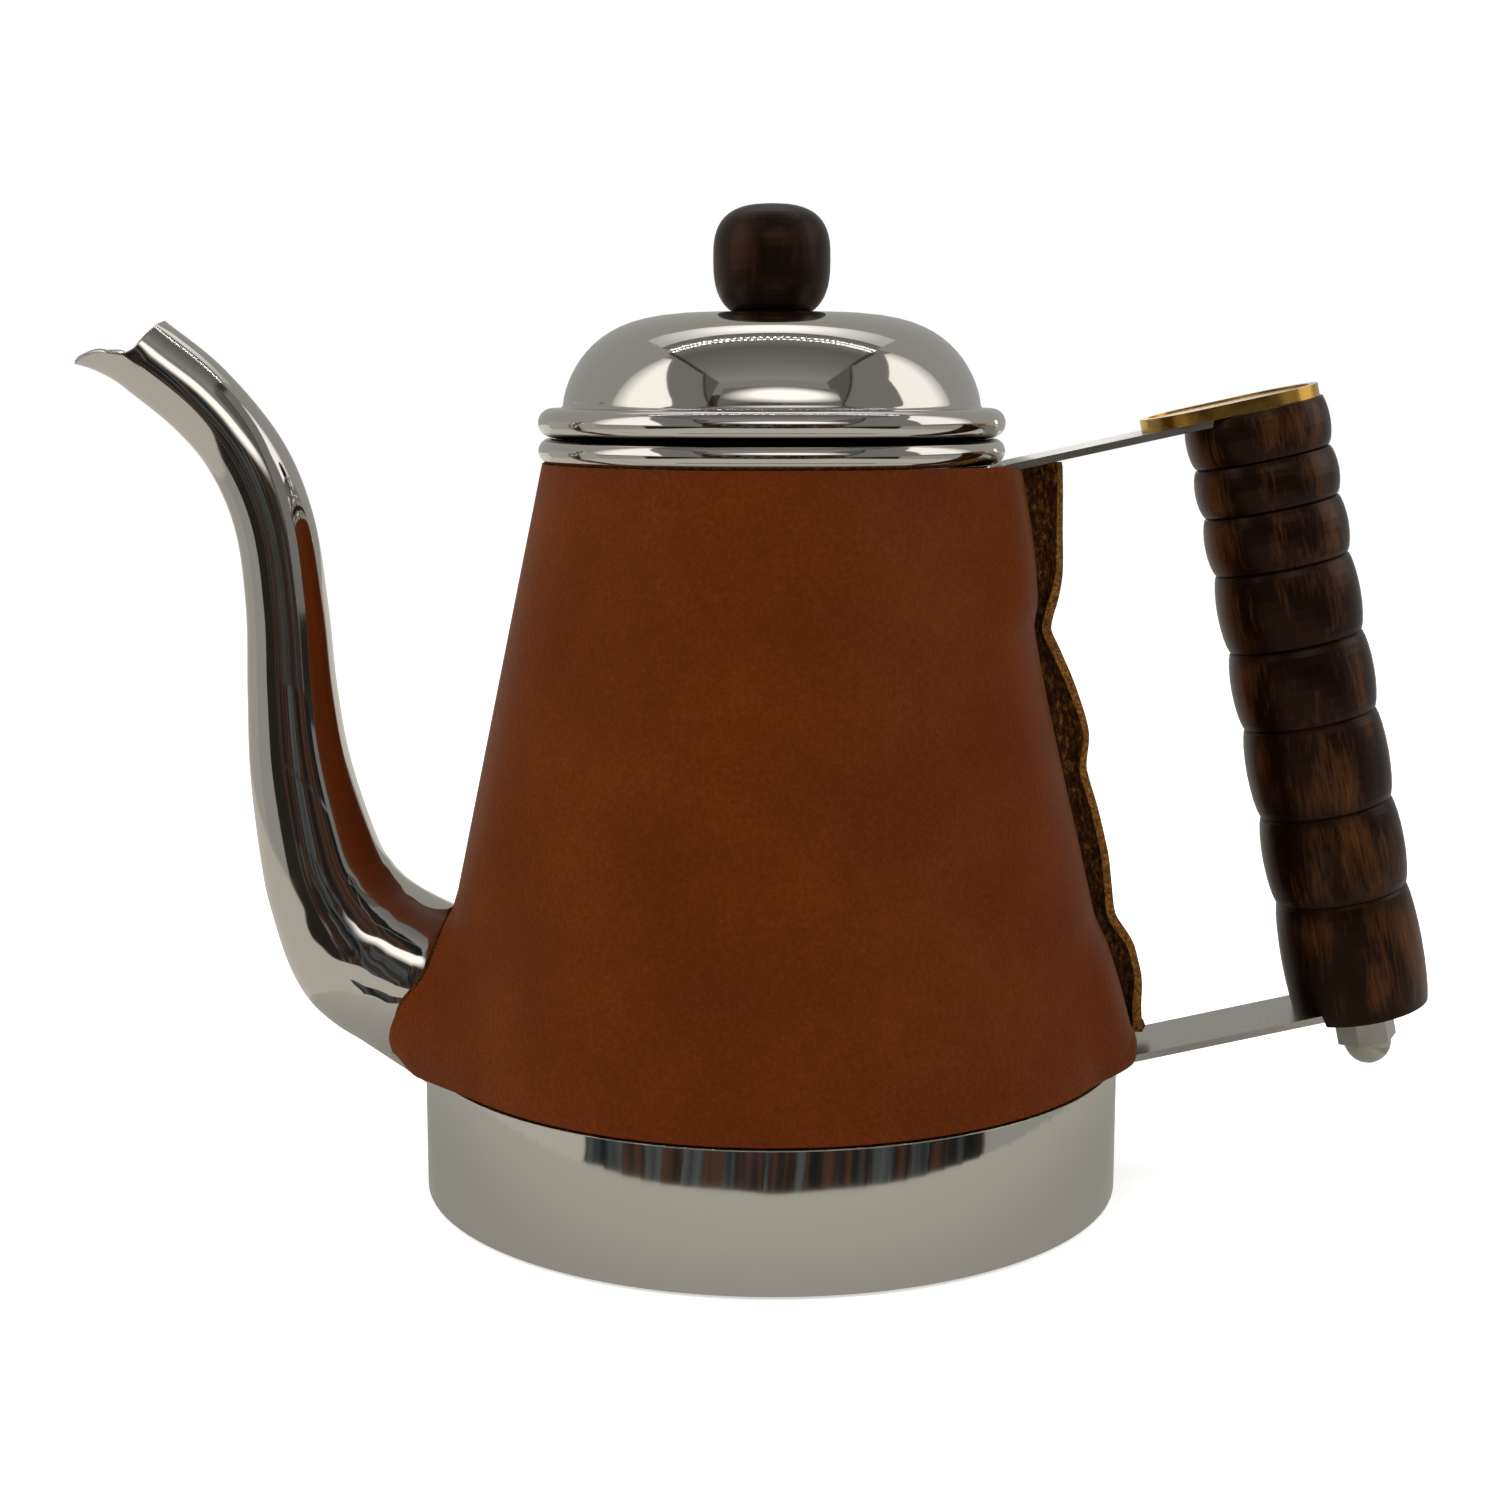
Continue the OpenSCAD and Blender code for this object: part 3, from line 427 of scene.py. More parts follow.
def turntable_edge(bm):
    """Its shaded rim."""
    bmesh.ops.create_cone(bm, segments=96, radius1=RIM_R, radius2=RIM_R, depth=0.012)
    bmesh.ops.translate(bm, verts=bm.verts, vec=(0, TABLE_Y, -0.0075))


mirror_only(new_piece("turntable", turntable_disc), shadowed_turntable)
mirror_only(new_piece("turntable_rim", turntable_edge), frame_black)


def lamp_row(bm):
    """Small square lamps under the top, in two rows."""
    for row, y in enumerate((0.10, 0.15)):
        for k in range(-19, 20):
            made = bmesh.ops.create_cube(bm, size=0.007)
            bmesh.ops.translate(bm, verts=made["verts"],
                                vec=((k + 0.5 * row) * 0.027, y, TOP - 0.03))


mirror_only(new_piece("lamp_rows", lamp_row), lamp_dot)
print("light box", 2 * SIDE, "m wide")

# %% [markdown]
# ## Polished steel
# The shell, lid and spout are drawn from stainless sheet, AISI 304, then ground and polished
# to a mirror. Polishing by hand leaves the sheet very slightly wavy, which breaks up long
# reflections, so a faint large-scale bump is laid over a low roughness. A plain brushed
# pattern would be wrong here: no grinding lines can be seen.

# %% Mirror steel
def mirror_steel(name, hex_value, roughness, wave, painted_shade_heights=None):
    """Polished stainless steel: a tone, a low roughness, and a wave height in millimetres.
    The heights given last mark a dark band of painted shade in its colour, under the lid's roll."""
    material, tree, shader = new_material(name, Base_Color=colour(hex_value), Metallic=1.0)
    place = add(tree, "TexCoord").outputs["Object"]
    waves = add(tree, "TexNoise", Vector=place, Scale=1 / (22 * MM), Detail=2.0)
    bump = add(tree, "Bump", Strength=1.0, Distance=wave * MM, Height=waves.outputs["Fac"])
    tree.links.new(bump.outputs[0], shader.inputs["Normal"])
    haze = add(tree, "TexNoise", Vector=place, Scale=1 / (9 * MM), Detail=3.0)
    spread = add(tree, "MapRange", Value=haze.outputs["Fac"], To_Min=roughness * 0.75,
                 To_Max=roughness * 1.3)
    tree.links.new(spread.outputs["Result"], shader.inputs["Roughness"])
    # Painted shade: a dark band in the steel's colour under the lid's roll
    if painted_shade_heights:
        height = add(tree, "SeparateXYZ", Vector=place).outputs["Z"]
        across = add(tree, "MapRange", Value=height, From_Min=painted_shade_heights[0] * MM,
                     From_Max=painted_shade_heights[1] * MM)
        tree.links.new(ramp(tree, across.outputs["Result"],
                            [(0.0, hex_value), (0.2, "#1A1714"), (0.8, "#1A1714"),
                             (1.0, hex_value)]), shader.inputs["Base Color"])
    return material


# The shell's steel carries a dark band of painted shade under the lid's roll
shell_steel = mirror_steel("mirror_polished_stainless_steel", "#CDC9C3", 0.06, 0.10,
                           painted_shade_heights=(158.2, 160.3))
dress(shell_steel, "base_cap")
strip_steel = mirror_steel("bright_rolled_stainless_strip", "#BEBBB5", 0.26, 0.05)
dress(strip_steel, "upper_strap", "lower_strap")
nickel = mirror_steel("nickel_plated_steel", "#AAA79E", 0.24, 0.02)
zinc = mirror_steel("zinc_plated_steel", "#B4B5B2", 0.32, 0.02)
dress(zinc, "handle_bolt", "knob_screw", "knob_washer")

# %% [markdown]
# ### Smooth shading of the turned and drawn steel
# The CAD meshes are flat facets, which would break a mirror finish into steps. Merged copies
# of the same meshes are shaded as curved surfaces, and edges that turn by more than
# SHARP_ANGLE, in degrees, stay sharp.

# %% Smooth shell and lid
SHARP_ANGLE = 25


def smooth_copy(node, body, material, cuts=()):
    """A merged copy of a CAD node whose facets are shaded as one curved surface. Cuts at some
    heights, in millimetres, keep a rounded edge's shading off the straight wall beside it."""
    mesh = nodes[node].data.copy()
    mesh.name = "smooth_" + node
    bm = bmesh.new()
    bm.from_mesh(mesh)
    bmesh.ops.remove_doubles(bm, verts=bm.verts, dist=0.002 * MM)
    bmesh.ops.dissolve_degenerate(bm, edges=bm.edges, dist=0.001 * MM)
    for height in cuts:
        everything = [*bm.verts, *bm.edges, *bm.faces]
        bmesh.ops.bisect_plane(bm, geom=everything, dist=0.001 * MM,
                               plane_co=(0, 0, height * MM), plane_no=(0, 0, 1))
    for face in bm.faces:
        face.smooth = True
    bm.to_mesh(mesh)
    bm.free()
    mesh.set_sharp_from_angle(angle=radians(SHARP_ANGLE))
    mesh.materials.clear()
    mesh.materials.append(material)
    piece = bpy.data.objects.new("smooth_" + node, mesh)
    scene.collection.objects.link(piece)
    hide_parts(node)
    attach(piece, body)
    print(piece.name, len(mesh.polygons), "faces")
    return piece


shell = smooth_copy("body_shell", "kettle", shell_steel, (1.5, 27.4))
smooth_copy("lid_dome", "lid", shell_steel)
smooth_copy("acorn_nut", "kettle", nickel)
smooth_copy("lid_skirt", "lid", shell_steel)

# %% Crisp top edge of the band
# The press leaves the band's top edge crisp, so the copy's rounding there is drawn tighter.
# Millimetres; NEAR is how far a vertex may lie off the rounding and still belong to it.
BAND_R, BAND_Z, ROUNDING, CRISP, NEAR = 74.25, 29.2, 1.2, 0.1, 0.05
bm = bmesh.new()
bm.from_mesh(shell.data)
tightened = 0
for vert in bm.verts:
    x, y, z = vert.co / MM
    r = math.hypot(x, y)
    across, up = r - (BAND_R - ROUNDING), z - (BAND_Z - ROUNDING)
    if across > -0.01 and up > -0.01 and abs(math.hypot(across, up) - ROUNDING) < NEAR:
        new_r = BAND_R - CRISP + across * CRISP / ROUNDING
        new_z = BAND_Z - CRISP + up * CRISP / ROUNDING
        vert.co = Vector((x * new_r / r, y * new_r / r, new_z)) * MM
        tightened += 1
bmesh.ops.bisect_plane(bm, geom=[*bm.verts, *bm.edges, *bm.faces], dist=0.001 * MM,
                       plane_co=(0, 0, (BAND_Z - 1.6 * CRISP) * MM), plane_no=(0, 0, 1))
bm.to_mesh(shell.data)
bm.free()
print("edge vertices drawn tighter:", tightened)

# %% [markdown]
# ## Gooseneck spout
# On the real kettle the spout is a tapered tube, swaged and bent, with a drooping lip filed
# from a slanting cut. The CAD solid has flat facets, which a mirror finish would show, so a
# finer tube replaces it. It is one grid, wrapped round sections that span the tube's outer and
# inner edge, so that they can't cross at the tight inner bend: the grid's x runs round the
# section and its y from the lip's edge to the seat on the body. Its two long edges meet and
# are merged, and a Solidify modifier gives it the wall of the steel sheet.

# %% Spout sizes, in millimetres
STEEL_T, SEAT = 0.8, 0.05
LIP_L, LIP_DROP, LIP_LIFT = 9.1, 10.9, 0.55
CONE_FOOT_R, CONE_TOP_R, CONE_TOP_Z = 71.8, 45.6, 152.9
CONE_SLOPE = (CONE_FOOT_R - CONE_TOP_R) / (CONE_TOP_Z - BAND_Z)
# Outer and inner edge of the tube in the middle plane: x, z and x, z
spout_sides = [
    (-135.97, 170.45, -125.63, 182.95), (-124.3, 160.8, -113.6, 172.9),
    (-117.0, 151.6, -102.2, 158.4), (-112.3, 139.2, -96.1, 142.6),
    (-110.7, 122.9, -93.5, 123.7), (-110.95, 105.6, -92.1, 106.4),
    (-110.9, 87.8, -89.6, 90.6), (-108.9, 67.0, -84.4, 73.7), (-106.8, 56.8, -81.3, 68.2),
    (-103.7, 46.6, -78.6, 65.1), (-99.6, 39.0, -76.1, 63.2), (-94.1, 33.7, -73.3, 61.5),
    (-88.4, 30.0, -68.4, 59.0)
]
lip_reach = [(0, 0), (80, 0), (100, 0.1), (120, 0.39), (140, 0.67), (155, 0.85), (170, 0.97),
             (180, 1)]
lip_height = [(0, 1), (30, 0.87), (60, 0.5), (80, 0.17), (100, -0.12), (120, -0.31),
              (140, -0.48), (155, -0.7), (170, -0.9), (180, -1)]
lip_half = [(0, 0), (30, 0.5), (60, 0.87), (80, 0.98), (100, 0.98), (120, 0.92), (140, 0.74),
            (155, 0.5), (170, 0.22), (180, 0)]


def spline(points, steps):
    """A smooth curve through the points."""
    points = [Vector(p) for p in points]
    ends = [2 * points[0] - points[1], *points, 2 * points[-1] - points[-2]]
    made = []
    for a, b, c, d in zip(ends, ends[1:], ends[2:], ends[3:]):
        for k in range(steps):
            t = k / steps
            made.append(0.5 * (2 * b + (c - a) * t + (2 * a - 5 * b + 4 * c - d) * t ** 2
                               + (3 * b - a - 3 * c + d) * t ** 3))
    return [*made, points[-1]]


RING_STEPS = 8
MID_RING = 5 * RING_STEPS
outer = spline([(x, z, 0) for x, z, _, _ in spout_sides], RING_STEPS)
inner = spline([(x, z, 0) for _, _, x, z in spout_sides], RING_STEPS)
print("spout rings:", len(outer))


# %% Spout surface
def ring_frame(k):
    """Middle, radius, up and along of ring k in the middle plane: x and z."""
    a, b = Vector(outer[k][:2]), Vector(inner[k][:2])
    up = (b - a).normalized()
    return (a + b) / 2, (b - a).length / 2, up, Vector((up.y, -up.x))


def ring_point(k, angle):
    """Point of ring k at an angle from the top of the section."""
    middle, r, up, _ = ring_frame(k)
    c = middle + r * cos(radians(angle)) * up
    return Vector((c.x, r * sin(radians(angle)), c.y))


def lip_point(angle, share):
    """Point of the lip, from its edge (share 0) to the first full ring (share 1)."""
    b = angle if angle <= 180 else 360 - angle
    tip, r, up, d = ring_frame(0)
    height, reach = lookup(b, lip_height), lookup(b, lip_reach)
    p = tip - LIP_L * reach * d
    p += (r if height > 0 else LIP_DROP) * height * up
    side = 1 if angle <= 180 else -1
    p = Vector((p.x, side * r * lookup(b, lip_half), p.y))
    q, d1 = ring_point(first_full, angle), ring_frame(first_full)[3]
    run = (q - p).length
    v = (d + LIP_LIFT * reach * up).normalized() * run
    v, w = Vector((v.x, 0, v.y)), Vector((d1.x, 0, d1.y)) * run
    u = share
    return ((2 * u ** 3 - 3 * u ** 2 + 1) * p + (u ** 3 - 2 * u ** 2 + u) * v
            + (3 * u ** 2 - 2 * u ** 3) * q + (u ** 3 - u ** 2) * w)


def cone_hit(p, d, radius, slope):
    """Distance along d from p to a cone round Z with that radius at the ledge."""
    r0 = radius + SEAT + (BAND_Z - p.z) * slope
    a = d.x ** 2 + d.y ** 2 - (d.z * slope) ** 2
    b = 2 * (p.x * d.x + p.y * d.y + r0 * d.z * slope)
    c = p.x ** 2 + p.y ** 2 - r0 ** 2
    return (-b - math.sqrt(b * b - 4 * a * c)) / (2 * a)


def root_point(angle):
    """Where the tube meets the body: on the band, the ledge or the cone."""
    p, d = ring_point(len(outer) - 1, angle), ring_frame(len(outer) - 1)[3]
    d = Vector((d.x, 0, d.y))
    band = p + d * cone_hit(p, d, BAND_R, 0)
    ledge = p + d * ((BAND_Z + SEAT - p.z) / d.z)
    cone = p + d * cone_hit(p, d, CONE_FOOT_R, CONE_SLOPE)
    if band.z <= BAND_Z + SEAT:
        return band
    return ledge if Vector((ledge.x, ledge.y)).length >= CONE_FOOT_R + SEAT else cone


SPOUT_SIDES, LIP_STEPS = 72, 10
first_full = RING_STEPS // 4
spout_rows = LIP_STEPS + len(outer) - first_full + 1


def spout_grid(bm):
    """A grid wrapped round the tube's sections and closed along its seam."""
    bmesh.ops.create_grid(bm, x_segments=SPOUT_SIDES, y_segments=spout_rows - 1, size=1)
    for vert in bm.verts:
        angle = (vert.co.x + 1) / 2 * 360
        row = round((vert.co.y + 1) / 2 * (spout_rows - 1))
        if row < LIP_STEPS:
            place = lip_point(angle, row / LIP_STEPS)
        elif row < spout_rows - 1:
            place = ring_point(row - LIP_STEPS + first_full, angle)
        else:
            place = root_point(angle)
        vert.co = place * MM
    bmesh.ops.remove_doubles(bm, verts=bm.verts, dist=0.01 * MM)
    bmesh.ops.recalc_face_normals(bm, faces=bm.faces)
    core = ring_frame(MID_RING)[0]
    middle = Vector((core.x, 0, core.y)) * MM
    nearest = min(bm.faces, key=lambda f: (f.calc_center_median() - middle).length)
    if nearest.normal.dot(nearest.calc_center_median() - middle) < 0:
        bmesh.ops.reverse_faces(bm, faces=bm.faces)
    for face in bm.faces:
        face.smooth = True


spout = new_piece("gooseneck_spout", spout_grid)
wall = spout.modifiers.new("wall", "SOLIDIFY")
wall.thickness = STEEL_T * MM
wall.offset = -1
spout_steel = mirror_steel("mirror_polished_stainless_tube", "#CDC9C3", 0.06, 0.10)
spout.data.materials.append(spout_steel)
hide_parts("spout_tube")
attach(spout, "kettle")
print("spout faces:", len(spout.data.polygons))

# %% [markdown]
# ## Brass
# The thumb plate is cut from sheet brass and polished. Handled brass tarnishes unevenly, so
# its tone and its gloss vary a little.

# %% Polished brass
brass, tree, shader = new_material("polished_brass", Metallic=1.0)
place = add(tree, "TexCoord").outputs["Object"]
patches = add(tree, "TexNoise", Vector=place, Scale=1 / (7 * MM), Detail=5.0)
tree.links.new(ramp(tree, patches.outputs["Fac"],
                    [(0.35, "#C09444"), (0.55, "#E2B65C"), (0.75, "#F0D088")]),
               shader.inputs["Base Color"])
rough = add(tree, "MapRange", Value=patches.outputs["Fac"], To_Min=0.14, To_Max=0.30)
tree.links.new(rough.outputs["Result"], shader.inputs["Roughness"])
grit = add(tree, "TexNoise", Vector=place, Scale=1 / (0.5 * MM), Detail=2.0)
bump = add(tree, "Bump", Strength=0.6, Distance=0.02 * MM, Height=grit.outputs["Fac"])
tree.links.new(bump.outputs[0], shader.inputs["Normal"])
dress(brass, "thumb_plate", "knob_insert")

# %% [markdown]
# ## Turned wood
# The grip and the knob are turned from a close-grained hardwood, stained nearly black-brown
# and rubbed with a satin lacquer. The grain runs along the lathe's axis, so the pattern is
# stretched along it; the grip's own axis leans, so the pattern is turned with it. The beads'
# crests turn lighter in patches, partly stain rubbed thin and partly painted light, and the
# grooves between them stay dark as painted shade.

# %% Stained turned hardwood
GRIP_TILT, GRIP_X, GRIP_Z = 12.2, 128.0, 36.9


def turned_wood(name, axis, lean, worn_lit_from, worn_lit_to, tones):
    """Dark stained hardwood. The grain runs along the piece's axis, which passes through axis,
    in millimetres, and leans by some degrees from Z. Beyond the radius from the axis given
    next, the tone turns lighter in patches: partly stain rubbed thin, partly painted light on
    the crests."""
    dark, mid, light, bare_and_lit = tones
    material, tree, shader = new_material(name)
    shader.inputs["Specular IOR Level"].default_value = 0.3
    shader.inputs["Specular Tint"].default_value = colour("#F0B898")
    place = add(tree, "TexCoord").outputs["Object"]
    moved = add(tree, "VectorMath", {"operation": "SUBTRACT"}, i0=place,
                i1=tuple(part * MM for part in axis))
    turned = add(tree, "Mapping", Vector=moved.outputs[0], Rotation=(0, radians(lean), 0))
    fine = add(tree, "Mapping", Vector=turned.outputs[0], Scale=(1, 1, 0.08))
    pores = add(tree, "TexNoise", Vector=fine.outputs[0], Scale=1 / (0.7 * MM), Detail=4.0,
                Roughness=0.6)
    broad = add(tree, "Mapping", Vector=turned.outputs[0], Scale=(1, 1, 0.3))
    bands = add(tree, "TexNoise", Vector=broad.outputs[0], Scale=1 / (9 * MM), Detail=3.0)
    both = add(tree, "Mix", {"data_type": "FLOAT"}, i0=0.35, i2=bands.outputs["Fac"],
               i3=pores.outputs["Fac"])
    stain = ramp(tree, both.outputs[0], [(0.38, dark), (0.52, mid), (0.66, light)])
    flat = add(tree, "VectorMath", {"operation": "MULTIPLY"}, i0=turned.outputs[0], i1=(1, 1, 0))
    radius = add(tree, "VectorMath", {"operation": "LENGTH"}, i0=flat.outputs[0])
    # Crests lighter in patches: partly stain rubbed thin, partly painted light; the grooves stay
    # dark as painted shade
    crest = add(tree, "MapRange", {"interpolation_type": "SMOOTHSTEP"},
                Value=radius.outputs["Value"], From_Min=worn_lit_from * MM, From_Max=worn_lit_to * MM)
    patch = add(tree, "MapRange", Value=both.outputs[0], From_Min=0.48, From_Max=0.70)
    rubbed_and_lit = add(tree, "Math", {"operation": "MULTIPLY"}, i0=crest.outputs["Result"],
                 i1=patch.outputs["Result"])
    tone = add(tree, "Mix", {"data_type": "RGBA"}, i0=rubbed_and_lit.outputs[0], i6=stain,
               i7=colour(bare_and_lit))
    tree.links.new(tone.outputs[2], shader.inputs["Base Color"])
    gloss = add(tree, "MapRange", Value=both.outputs[0], To_Min=0.24, To_Max=0.42)
    tree.links.new(gloss.outputs["Result"], shader.inputs["Roughness"])
    bump = add(tree, "Bump", Strength=0.5, Distance=0.04 * MM, Height=pores.outputs["Fac"])
    tree.links.new(bump.outputs[0], shader.inputs["Normal"])
    return material


grip_wood = turned_wood("stained_turned_hardwood", (GRIP_X, 0, GRIP_Z), GRIP_TILT, 13.6, 14.9,
                        ("#070302", "#0E0603", "#1B0D05", "#4E2E10"))
knob_wood = turned_wood("stained_turned_knob", (0, 0, 0), 0, 9, 12,
                        ("#060302", "#0D0704", "#1A0E07", "#24130A"))
dress(grip_wood, "grip")
dress(knob_wood, "knob")

# %% Waxed thread
thread, tree, shader = new_material("waxed_linen_thread", Roughness=0.55)
place = add(tree, "TexCoord").outputs["Object"]
twist = add(tree, "TexWave", Vector=place, Scale=1 / (1.2 * MM), Distortion=1.0)
tree.links.new(ramp(tree, twist.outputs["Fac"], [(0.2, "#2A1A10"), (0.8, "#4A3220")]),
               shader.inputs["Base Color"])
dress(thread, "seam_tacks")

# %% [markdown]
# ## Leather sleeve
# One sheet of vegetable-tanned leather two millimetres thick is stretched round the cone and
# over the root of the spout, which comes out through a slot. Its two ends meet behind: the
# near one lies nearly flat, the far one is folded out and stands up, and three thread tacks
# draw them together, so the edges swing out between the tacks. The sheet is one grid, its x
# along the leather and its y up the cone. Grain, flesh side and cut edge are three finishes,
# set by the Solidify modifier.

# %% Sizes of the sheet, in millimetres
HEM_Z, SLEEVE_TOP, LEATHER_T, LEATHER_GAP = 29.3, 153.35, 2.0, 0.3
STRAP_R, STRAP_T, STRAP_GAP = 9.8, 1.5, 0.3
NEAR_EDGE_Y, FOLD_Y, FOLD_R = 4.0, 4.6, 3.6
GRIP_L, LOWER_RECESS = 130.99, 1.1
KNEE_Z, JOGGLE_Z, FOOT_L, LEDGE_W = 29.85, 32.85, 20.0, 2.45
lean_tan, lean_cos = tan(radians(GRIP_TILT)), cos(radians(GRIP_TILT))


def body_r(z):
    """Radius of the steel under the leather at a height."""
    return BAND_R if z < BAND_Z else CONE_FOOT_R - (z - BAND_Z) * CONE_SLOPE


def over_lower(x):
    """Clear height over the lower strap."""
    return (GRIP_Z + (LOWER_RECESS + STRAP_T) / lean_cos + (x - GRIP_X) * lean_tan + STRAP_GAP)


def under_upper(x):
    """Clear height under the upper strap."""
    return GRIP_Z + (GRIP_L - STRAP_T) / lean_cos + (x - GRIP_X) * lean_tan - STRAP_GAP


# %% Where the sheet leaves the cone
# The first two tables go by height in millimetres, the others by part of the sleeve's height
# in per cent.
slot_angle = [(23.6, 13.4), (32, 13.4), (40.3, 14.4), (46.5, 14.2), (51.7, 12.5), (55.9, 9.3),
              (59, 5.2), (61, 0.0)]
tent_angle = [(29, 38.6), (33, 41), (38, 42), (46.5, 35.5), (51.7, 30.5), (56.9, 21), (61, 6),
              (67.2, 0)]
near_flare = [(0, 3.9), (9.5, 3.6), (17, 2.9), (23.7, 1.1), (34.5, 0.8), (46.9, 0.3),
              (63.3, 0), (72.4, 0.2), (78.1, 2.2), (88.7, 3.6), (99.3, 4.2)]
far_flare = [(0, 3.9), (8.3, 3.2), (18.7, 2.3), (25.3, 0.6), (46.9, 0.2), (72.4, 0.2),
             (77.2, 2.6), (99.3, 3.6)]
flap_reach = [(0, 6.5), (4.7, 7.5), (11.9, 9.6), (15.5, 9.6), (22.7, 6.3), (27.7, 6.8),
              (33.4, 7.4), (40.4, 7.2), (47.5, 6.4), (54.4, 8.7), (61.5, 7.4), (68.3, 5.2),
              (71.8, 4.1), (75.2, 5.5), (77.1, 6.8), (82.1, 9.5), (89.2, 11.3), (99.3, 13.8)]
# How far the far flap's edge is drawn in, and the bulge over the strap's foot: its reach past
# the strap and the width over which it dies away
FLAP_TUCK, BULGE_REACH, BULGE_BLEND = 2.2, 26, 22
foot_room = [(KNEE_Z + 0.7, LEDGE_W + STRAP_T + 0.5), (JOGGLE_Z + 0.7, STRAP_T + 0.7),
             (JOGGLE_Z + FOOT_L, STRAP_T + 0.7), (JOGGLE_Z + FOOT_L + 6, 0)]


def up_sleeve(z):
    """Height on the sleeve, in per cent of its own."""
    return 100 * (z - HEM_Z) / (SLEEVE_TOP - HEM_Z)


def hide_point(z, angle, side, flare):
    """Point of the flesh side at an angle from the spout, in millimetres."""
    r0 = body_r(z) + LEATHER_GAP
    y0 = r0 * sin(radians(angle))
    near_back = ease((STRAP_R + BULGE_REACH - y0) / BULGE_BLEND) if angle > 90 else 0
    off = max(flare, lookup(z, foot_room)) * near_back
    r = r0 / cos(radians(max(0, lookup(z, tent_angle) - angle))) + off
    return -r * cos(radians(angle)), side * r * sin(radians(angle))


def near_half(z, t):
    """The half towards the lens, from the slot (t 0) to its edge at the back (t 1)."""
    r = body_r(z) + LEATHER_GAP
    start, end = lookup(z, slot_angle), 180 - degrees(asin(NEAR_EDGE_Y / r))
    return hide_point(z, start + (end - start) * t, -1, lookup(up_sleeve(z), near_flare))


# Where along the half the flap's fold begins and ends, and in millimetres how far its edge
# curls towards the lens, how far from the hem or the top their shift reaches, and the lift
# beside the slot
FOLDS_AT, UNFOLDS_AT, FLAP_CURL, EDGE_REACH, SLOT_LIFT = 0.9, 0.96, 4.5, 20, 3.4


def far_half(z, t):
    """The far half, whose flap folds outward at the back."""
    r = body_r(z) + LEATHER_GAP
    flare = lookup(up_sleeve(z), far_flare)
    start, end = lookup(z, slot_angle), 180 - degrees(asin(FOLD_Y / r))
    if t <= FOLDS_AT:
        return hide_point(z, start + (end - start) * t / FOLDS_AT, 1, flare)
    x, y = hide_point(z, end, 1, flare)
    turn = radians(90 * min(1, (t - FOLDS_AT) / (UNFOLDS_AT - FOLDS_AT)))
    x, y = x + FOLD_R * (1 - cos(turn)), y - FOLD_R * sin(turn)
    if t > UNFOLDS_AT:
        share = (t - UNFOLDS_AT) / (1 - UNFOLDS_AT)
        edge = r + LEATHER_T + lookup(up_sleeve(z), flap_reach) - FLAP_TUCK
        x += (edge - x) * share
        y += 0.6 * sin(radians(z * 9)) * share - FLAP_CURL * ease((share - 0.35) / 1.3)
    return x, y


def lifted(x, y, z):
    """The hem rises at the slot's corners and over the lower strap; the top edge keeps below
    the upper strap."""
    hem = max(0, 1 - (z - HEM_Z) / EDGE_REACH)
    top = max(0, 1 - (SLEEVE_TOP - z) / EDGE_REACH)
    back = ease((STRAP_R + 9 - abs(y)) / 8) if x > 0 else 0
    front = ease((20 - degrees(atan2(abs(y), -x))) / 7) if x < 0 else 0
    rise = max(KNEE_Z + 1.6, over_lower(x)) - HEM_Z
    dip = min(0.4, under_upper(x) - SLEEVE_TOP)
    return Vector((x, y, z + back * (rise * hem + dip * top) + front * SLOT_LIFT * hem)) * MM


print("sheet", round(SLEEVE_TOP - HEM_Z, 2), "mm high on the upright")

# %% Sheet of leather
ROWS, HALF, SLOT_TOP = 124, 120, 61.0


def leather_grid(bm):
    """A grid laid round the cone, opened for the spout."""
    bmesh.ops.create_grid(bm, x_segments=2 * HALF + 1, y_segments=ROWS, size=1)
    sheet_map = bm.loops.layers.uv.new("sheet")
    for face in bm.faces:
        for loop in face.loops:
            loop[sheet_map].uv = (loop.vert.co.x / 2 + 0.5, loop.vert.co.y / 2 + 0.5)
    for vert in bm.verts:
        column = round((vert.co.x + 1) / 2 * (2 * HALF + 1))
        z = HEM_Z + (SLEEVE_TOP - HEM_Z) * (vert.co.y + 1) / 2
        if column <= HALF:
            x, y = near_half(z, 1 - column / HALF)
        else:
            x, y = far_half(z, (column - HALF - 1) / HALF)
        vert.co = lifted(x, y, z)
    slot_faces = [f for f in bm.faces if abs(f.calc_center_median().y) < 0.02 * MM
                  and f.calc_center_median().x < 0 and f.calc_area() > 1e-9
                  and f.calc_center_median().z < (SLOT_TOP + 3) * MM]
    bmesh.ops.delete(bm, geom=slot_faces, context="FACES")
    bmesh.ops.remove_doubles(bm, verts=bm.verts, dist=0.01 * MM)
    bmesh.ops.recalc_face_normals(bm, faces=bm.faces)
    sample = max(bm.faces, key=lambda f: -f.calc_center_median().y)
    if sample.normal.y > 0:
        bmesh.ops.reverse_faces(bm, faces=bm.faces)
    for face in bm.faces:
        face.smooth = True


sleeve = new_piece("leather_sheet", leather_grid)
thickness = sleeve.modifiers.new("thickness", "SOLIDIFY")
thickness.thickness = LEATHER_T * MM
thickness.offset = 1
thickness.material_offset = 1
thickness.material_offset_rim = 2
edges = sleeve.modifiers.new("rubbed_edges", "BEVEL")
edges.width = 0.45 * MM
edges.segments = 3
edges.limit_method = "ANGLE"
edges.angle_limit = radians(55)
edges.use_clamp_overlap = True
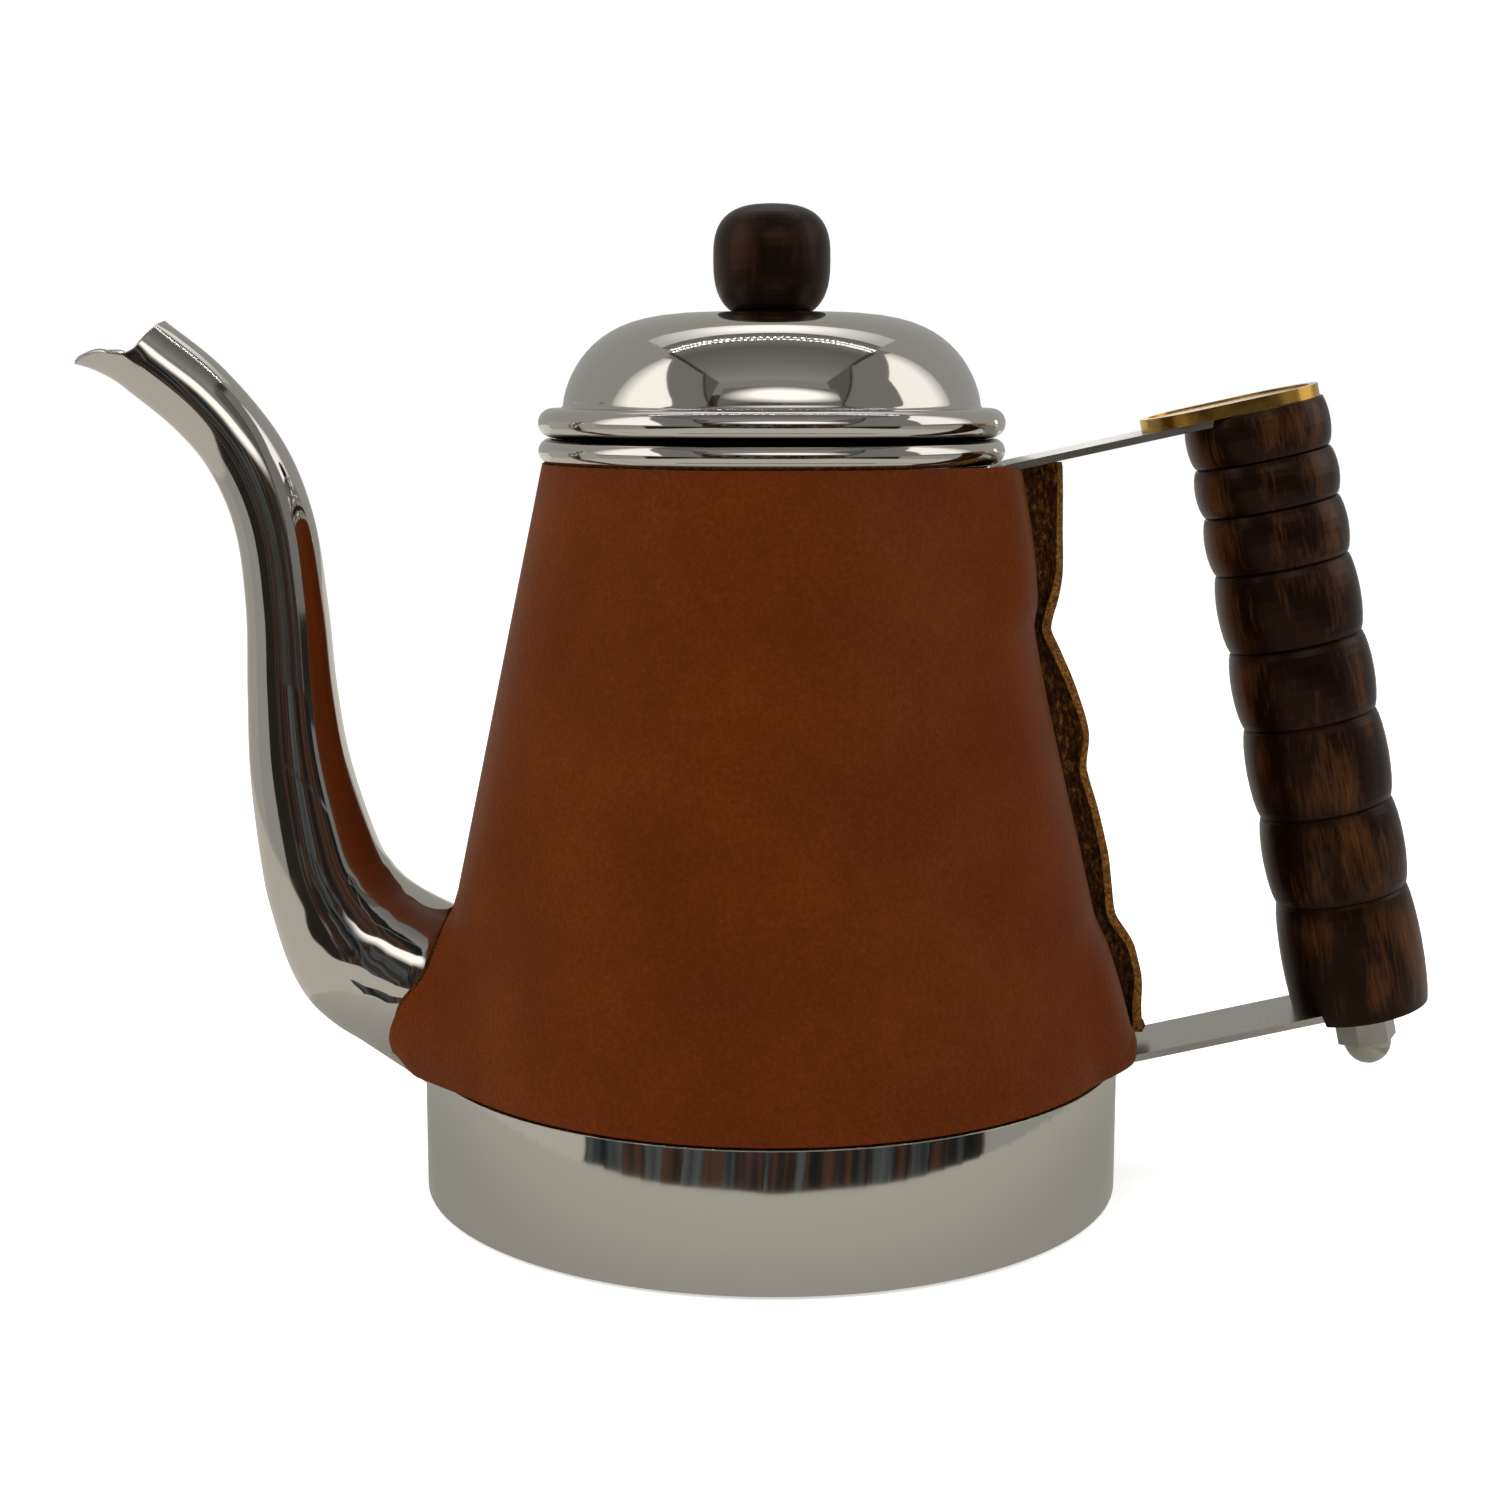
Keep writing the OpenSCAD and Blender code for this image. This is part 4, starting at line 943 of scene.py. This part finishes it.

# %% [markdown]
# ### Leather finishes
# The grain side is dyed tan, with a fine pebble and a soft cloudiness. The flesh side is a
# plain dark, as painted shade, and towards the folded-out flap's edge its fibres show golden
# in painted light, a place the sheet's own map gives. The cut edge is raw and speckled.

# %% Leather finishes
grain, tree, shader = new_material("vegetable_tanned_leather_grain", Roughness=0.6)
shader.inputs["Specular IOR Level"].default_value = 0.06
shader.inputs["Sheen Weight"].default_value = 0.09
shader.inputs["Sheen Roughness"].default_value = 0.35
shader.inputs["Sheen Tint"].default_value = colour("#D8A878")
place = add(tree, "TexCoord").outputs["Object"]
tone = add(tree, "TexNoise", Vector=place, Scale=1 / (26 * MM), Detail=5.0, Roughness=0.6)
fine = add(tree, "TexNoise", Vector=place, Scale=1 / (0.8 * MM), Detail=4.0, Roughness=0.7)
both = add(tree, "Mix", {"data_type": "FLOAT"}, i0=0.62, i2=tone.outputs["Fac"],
           i3=fine.outputs["Fac"])
tree.links.new(ramp(tree, both.outputs[0], [(0.38, "#4C1C00"), (0.50, "#542100"),
                                            (0.62, "#5D2801")]), shader.inputs["Base Color"])
pebble = add(tree, "TexVoronoi", {"feature": "DISTANCE_TO_EDGE"}, Vector=place,
             Scale=1 / (1.1 * MM))
creases = add(tree, "MapRange", Value=pebble.outputs["Distance"], From_Max=0.18)
bump = add(tree, "Bump", Strength=0.6, Distance=0.07 * MM, Height=creases.outputs["Result"])
cloudy = add(tree, "Bump", Strength=0.5, Distance=0.12 * MM, Height=tone.outputs["Fac"],
             Normal=bump.outputs[0])
tree.links.new(cloudy.outputs[0], shader.inputs["Normal"])
gloss = add(tree, "MapRange", Value=both.outputs[0], To_Min=0.46, To_Max=0.60)
tree.links.new(gloss.outputs["Result"], shader.inputs["Roughness"])

suede, tree, shader = new_material("leather_flesh_side", Roughness=0.95)
shader.inputs["Specular IOR Level"].default_value = 0.1
shader.inputs["Sheen Weight"].default_value = 0.2
shader.inputs["Sheen Roughness"].default_value = 0.6
shader.inputs["Sheen Tint"].default_value = colour("#A06A38")
place = add(tree, "TexCoord").outputs["Object"]
combed = add(tree, "Mapping", Vector=place, Scale=(1, 1, 0.45))
fibre = add(tree, "TexNoise", Vector=combed.outputs[0], Scale=1 / (0.8 * MM), Detail=6.0,
            Roughness=0.75)
fibres = ramp(tree, fibre.outputs["Fac"], [(0.38, "#180702"), (0.50, "#3C1D07"),
                                           (0.60, "#744812"), (0.72, "#AE8040")])
across = add(tree, "SeparateXYZ", Vector=add(tree, "UVMap", {"uv_map": "sheet"}).outputs[0])
# Painted light and shade: golden fibres towards the flap's outer edge, where light falls, and plain
# dark elsewhere as painted shade
lit_flap_edge = add(tree, "MapRange", Value=across.outputs["X"], From_Min=0.960, From_Max=0.988)
shade = add(tree, "Mix", {"data_type": "RGBA"}, i0=lit_flap_edge.outputs["Result"], i6=colour("#2A1105"),
            i7=fibres)
tree.links.new(shade.outputs[2], shader.inputs["Base Color"])
bump = add(tree, "Bump", Strength=1.0, Distance=0.35 * MM, Height=fibre.outputs["Fac"])
tree.links.new(bump.outputs[0], shader.inputs["Normal"])

raw_edge, tree, shader = new_material("leather_cut_edge", Roughness=0.8)
shader.inputs["Specular IOR Level"].default_value = 0.2
place = add(tree, "TexCoord").outputs["Object"]
layer = add(tree, "TexNoise", Vector=place, Scale=1 / (0.7 * MM), Detail=5.0, Roughness=0.7)
tree.links.new(ramp(tree, layer.outputs["Fac"], [(0.36, "#3A1D08"), (0.50, "#6B4210"),
                                                 (0.66, "#99691F")]),
               shader.inputs["Base Color"])
bump = add(tree, "Bump", Strength=1.0, Distance=0.2 * MM, Height=layer.outputs["Fac"])
tree.links.new(bump.outputs[0], shader.inputs["Normal"])
for finish in (grain, suede, raw_edge):
    sleeve.data.materials.append(finish)
    print("leather:", finish.name)
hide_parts("leather_sleeve")
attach(sleeve, "kettle")
